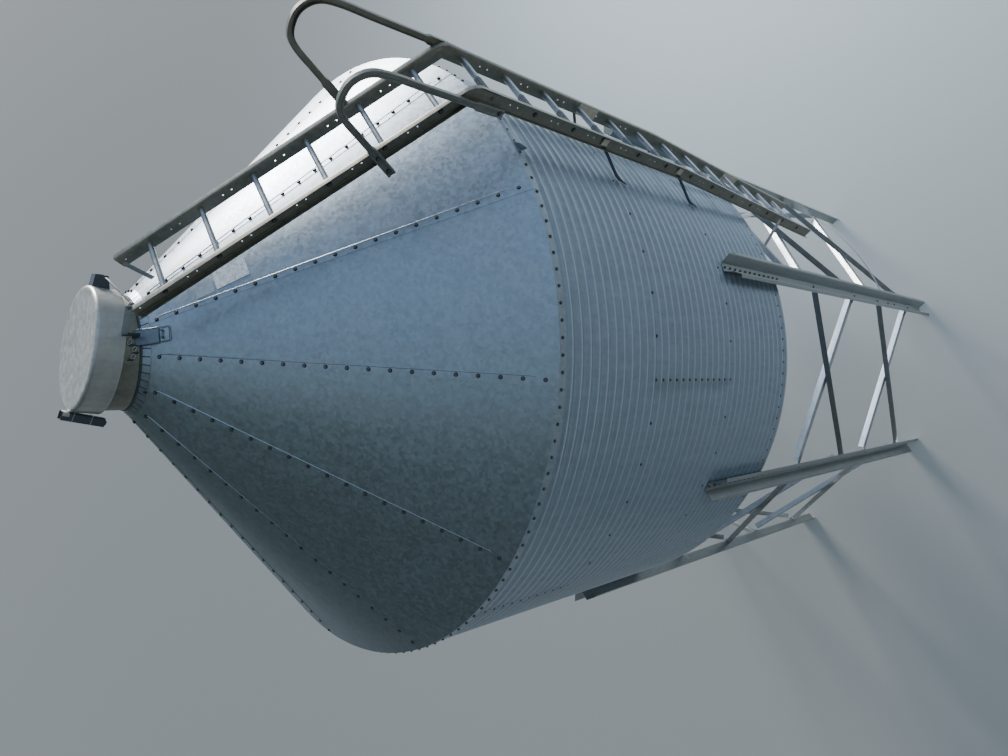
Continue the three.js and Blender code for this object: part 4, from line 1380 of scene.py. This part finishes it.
CURVED_TIE_Z = EAVE_Z - 4780
LADDER_TIE_Z = EAVE_Z - 2880


def ties():
    bar = [(WALL_R - 1, -20), (WALL_R - 1, 20), (WALL_R - 5, 20), (WALL_R - 5, -20)]
    reach = LEG_STEP / 2 + 0.7
    curved = lathe([(r, CURVED_TIE_Z + z) for r, z in bar], steps=24, start=LADDER_AZ - reach,
                   sweep=2 * reach)
    piece("curved_tie", curved, [BRACE], nodes=("ladder_bay_bar",))
    z = LADDER_TIE_Z
    shape = bay_bar(1, z, z, 0.0, False)
    inside = WALL_R * math.cos(deg(LEG_STEP / 2)) - 3
    for side in SIDES:
        y = side * (RAIL_OUTER + 3)
        ends = [(inside, y + side * 60, z), (side_rho(z) + 9, y, z)]
        shape.join(run(oblong(5, 42, 0.8), ends, UP))
    piece("ladder_tie_bar", in_ladder(shape), [BRACE], nodes=("ladder_tie",))


ties()


# Camera, as fitted to the bolts in the photograph, and the floor

scene = bpy.context.scene
camera_data = bpy.data.cameras.new("camera")
camera_data.sensor_width = 36.0
camera_data.lens = 24.666
camera_data.clip_end = 500.0
camera = put("camera", camera_data)
camera.location = (-2.6277, -2.8115, 8.2193)
camera.rotation_euler = (deg(-0.2295), deg(45.7898), deg(-130.6024))
scene.camera = camera

FLOOR = 160.0
floor_mesh = bpy.data.meshes.new("floor")
floor_mesh.from_pydata([(-FLOOR, -FLOOR, 0), (FLOOR, -FLOOR, 0), (FLOOR, FLOOR, 0),
                        (-FLOOR, FLOOR, 0)], [], [(0, 1, 2, 3)])
floor = put("floor", floor_mesh)
floor_material = bpy.data.materials.new("floor")
floor_shader = Tree(floor_material).shader
floor_shader.inputs["Base Color"].default_value = (0.40, 0.41, 0.40, 1)
floor_shader.inputs["Roughness"].default_value = 0.9
floor_mesh.materials.append(floor_material)


# Light. It comes from the side that is up in the photograph: a bright surround there that grows
# dim towards the other side, a panel over the floor, and a low sun further round

UP_AZ = 319.6
UP_LEAN = 0.31
POOL_PLACE = (8.5, 5.0)
SUN_AZ = 0.0
SUN_ELEVATION = 8.0
SKY = ((0.0, (0.045, 0.055, 0.052)), (1.0, (0.40, 0.54, 0.77)), (0.42, (0.100, 0.128, 0.120)),
       (0.50, (0.27, 0.33, 0.325)), (0.58, (0.36, 0.44, 0.48)), (0.66, (0.33, 0.43, 0.56)),
       (0.78, (0.43, 0.57, 0.76)))

world = bpy.data.worlds.new("studio")
scene.world = world
sky = Tree(world, "Background")
direction = sky.add("ShaderNodeTexCoord").outputs["Generated"]
upness = sky.add("ShaderNodeVectorMath", {"operation": "DOT_PRODUCT"})
sky.join(direction, upness.inputs[0])
upness.inputs[1].default_value = tuple(0.95 * out(UP_AZ) + (0.0, 0.0, UP_LEAN))
ramp = sky.add("ShaderNodeValToRGB",
               Fac=sky.spread(upness.outputs["Value"], -1.0, 1.0, 0.0, 1.0))
# A new ramp has a stop at each end already
stops = ramp.color_ramp.elements
for stop, (_, color) in zip(stops, SKY):
    stop.color = rgba(color)
for position, color in SKY[2:]:
    stops.new(position).color = rgba(color)
sky.join(ramp.outputs["Color"], sky.shader.inputs["Color"])


def light(name, kind, energy, color):
    data = bpy.data.lights.new(name, kind)
    data.energy = energy
    data.color = color
    return data, put(name, data)


pool_data, pool = light("pool", "AREA", 1100.0, (0.72, 0.86, 1.0))
pool_data.shape = "SQUARE"
pool_data.size = 8.0
pool_data.use_shadow = False
pool.location = tuple(polar(POOL_PLACE[0], UP_AZ, POOL_PLACE[1]))

sun_data, sun = light("sun", "SUN", 7.0, (1.0, 0.95, 0.88))
sun_data.angle = deg(22)
to_sun = polar(math.cos(deg(SUN_ELEVATION)), SUN_AZ, math.sin(deg(SUN_ELEVATION)))
sun.rotation_euler = Vector(to_sun).to_track_quat("Z", "Y").to_euler()
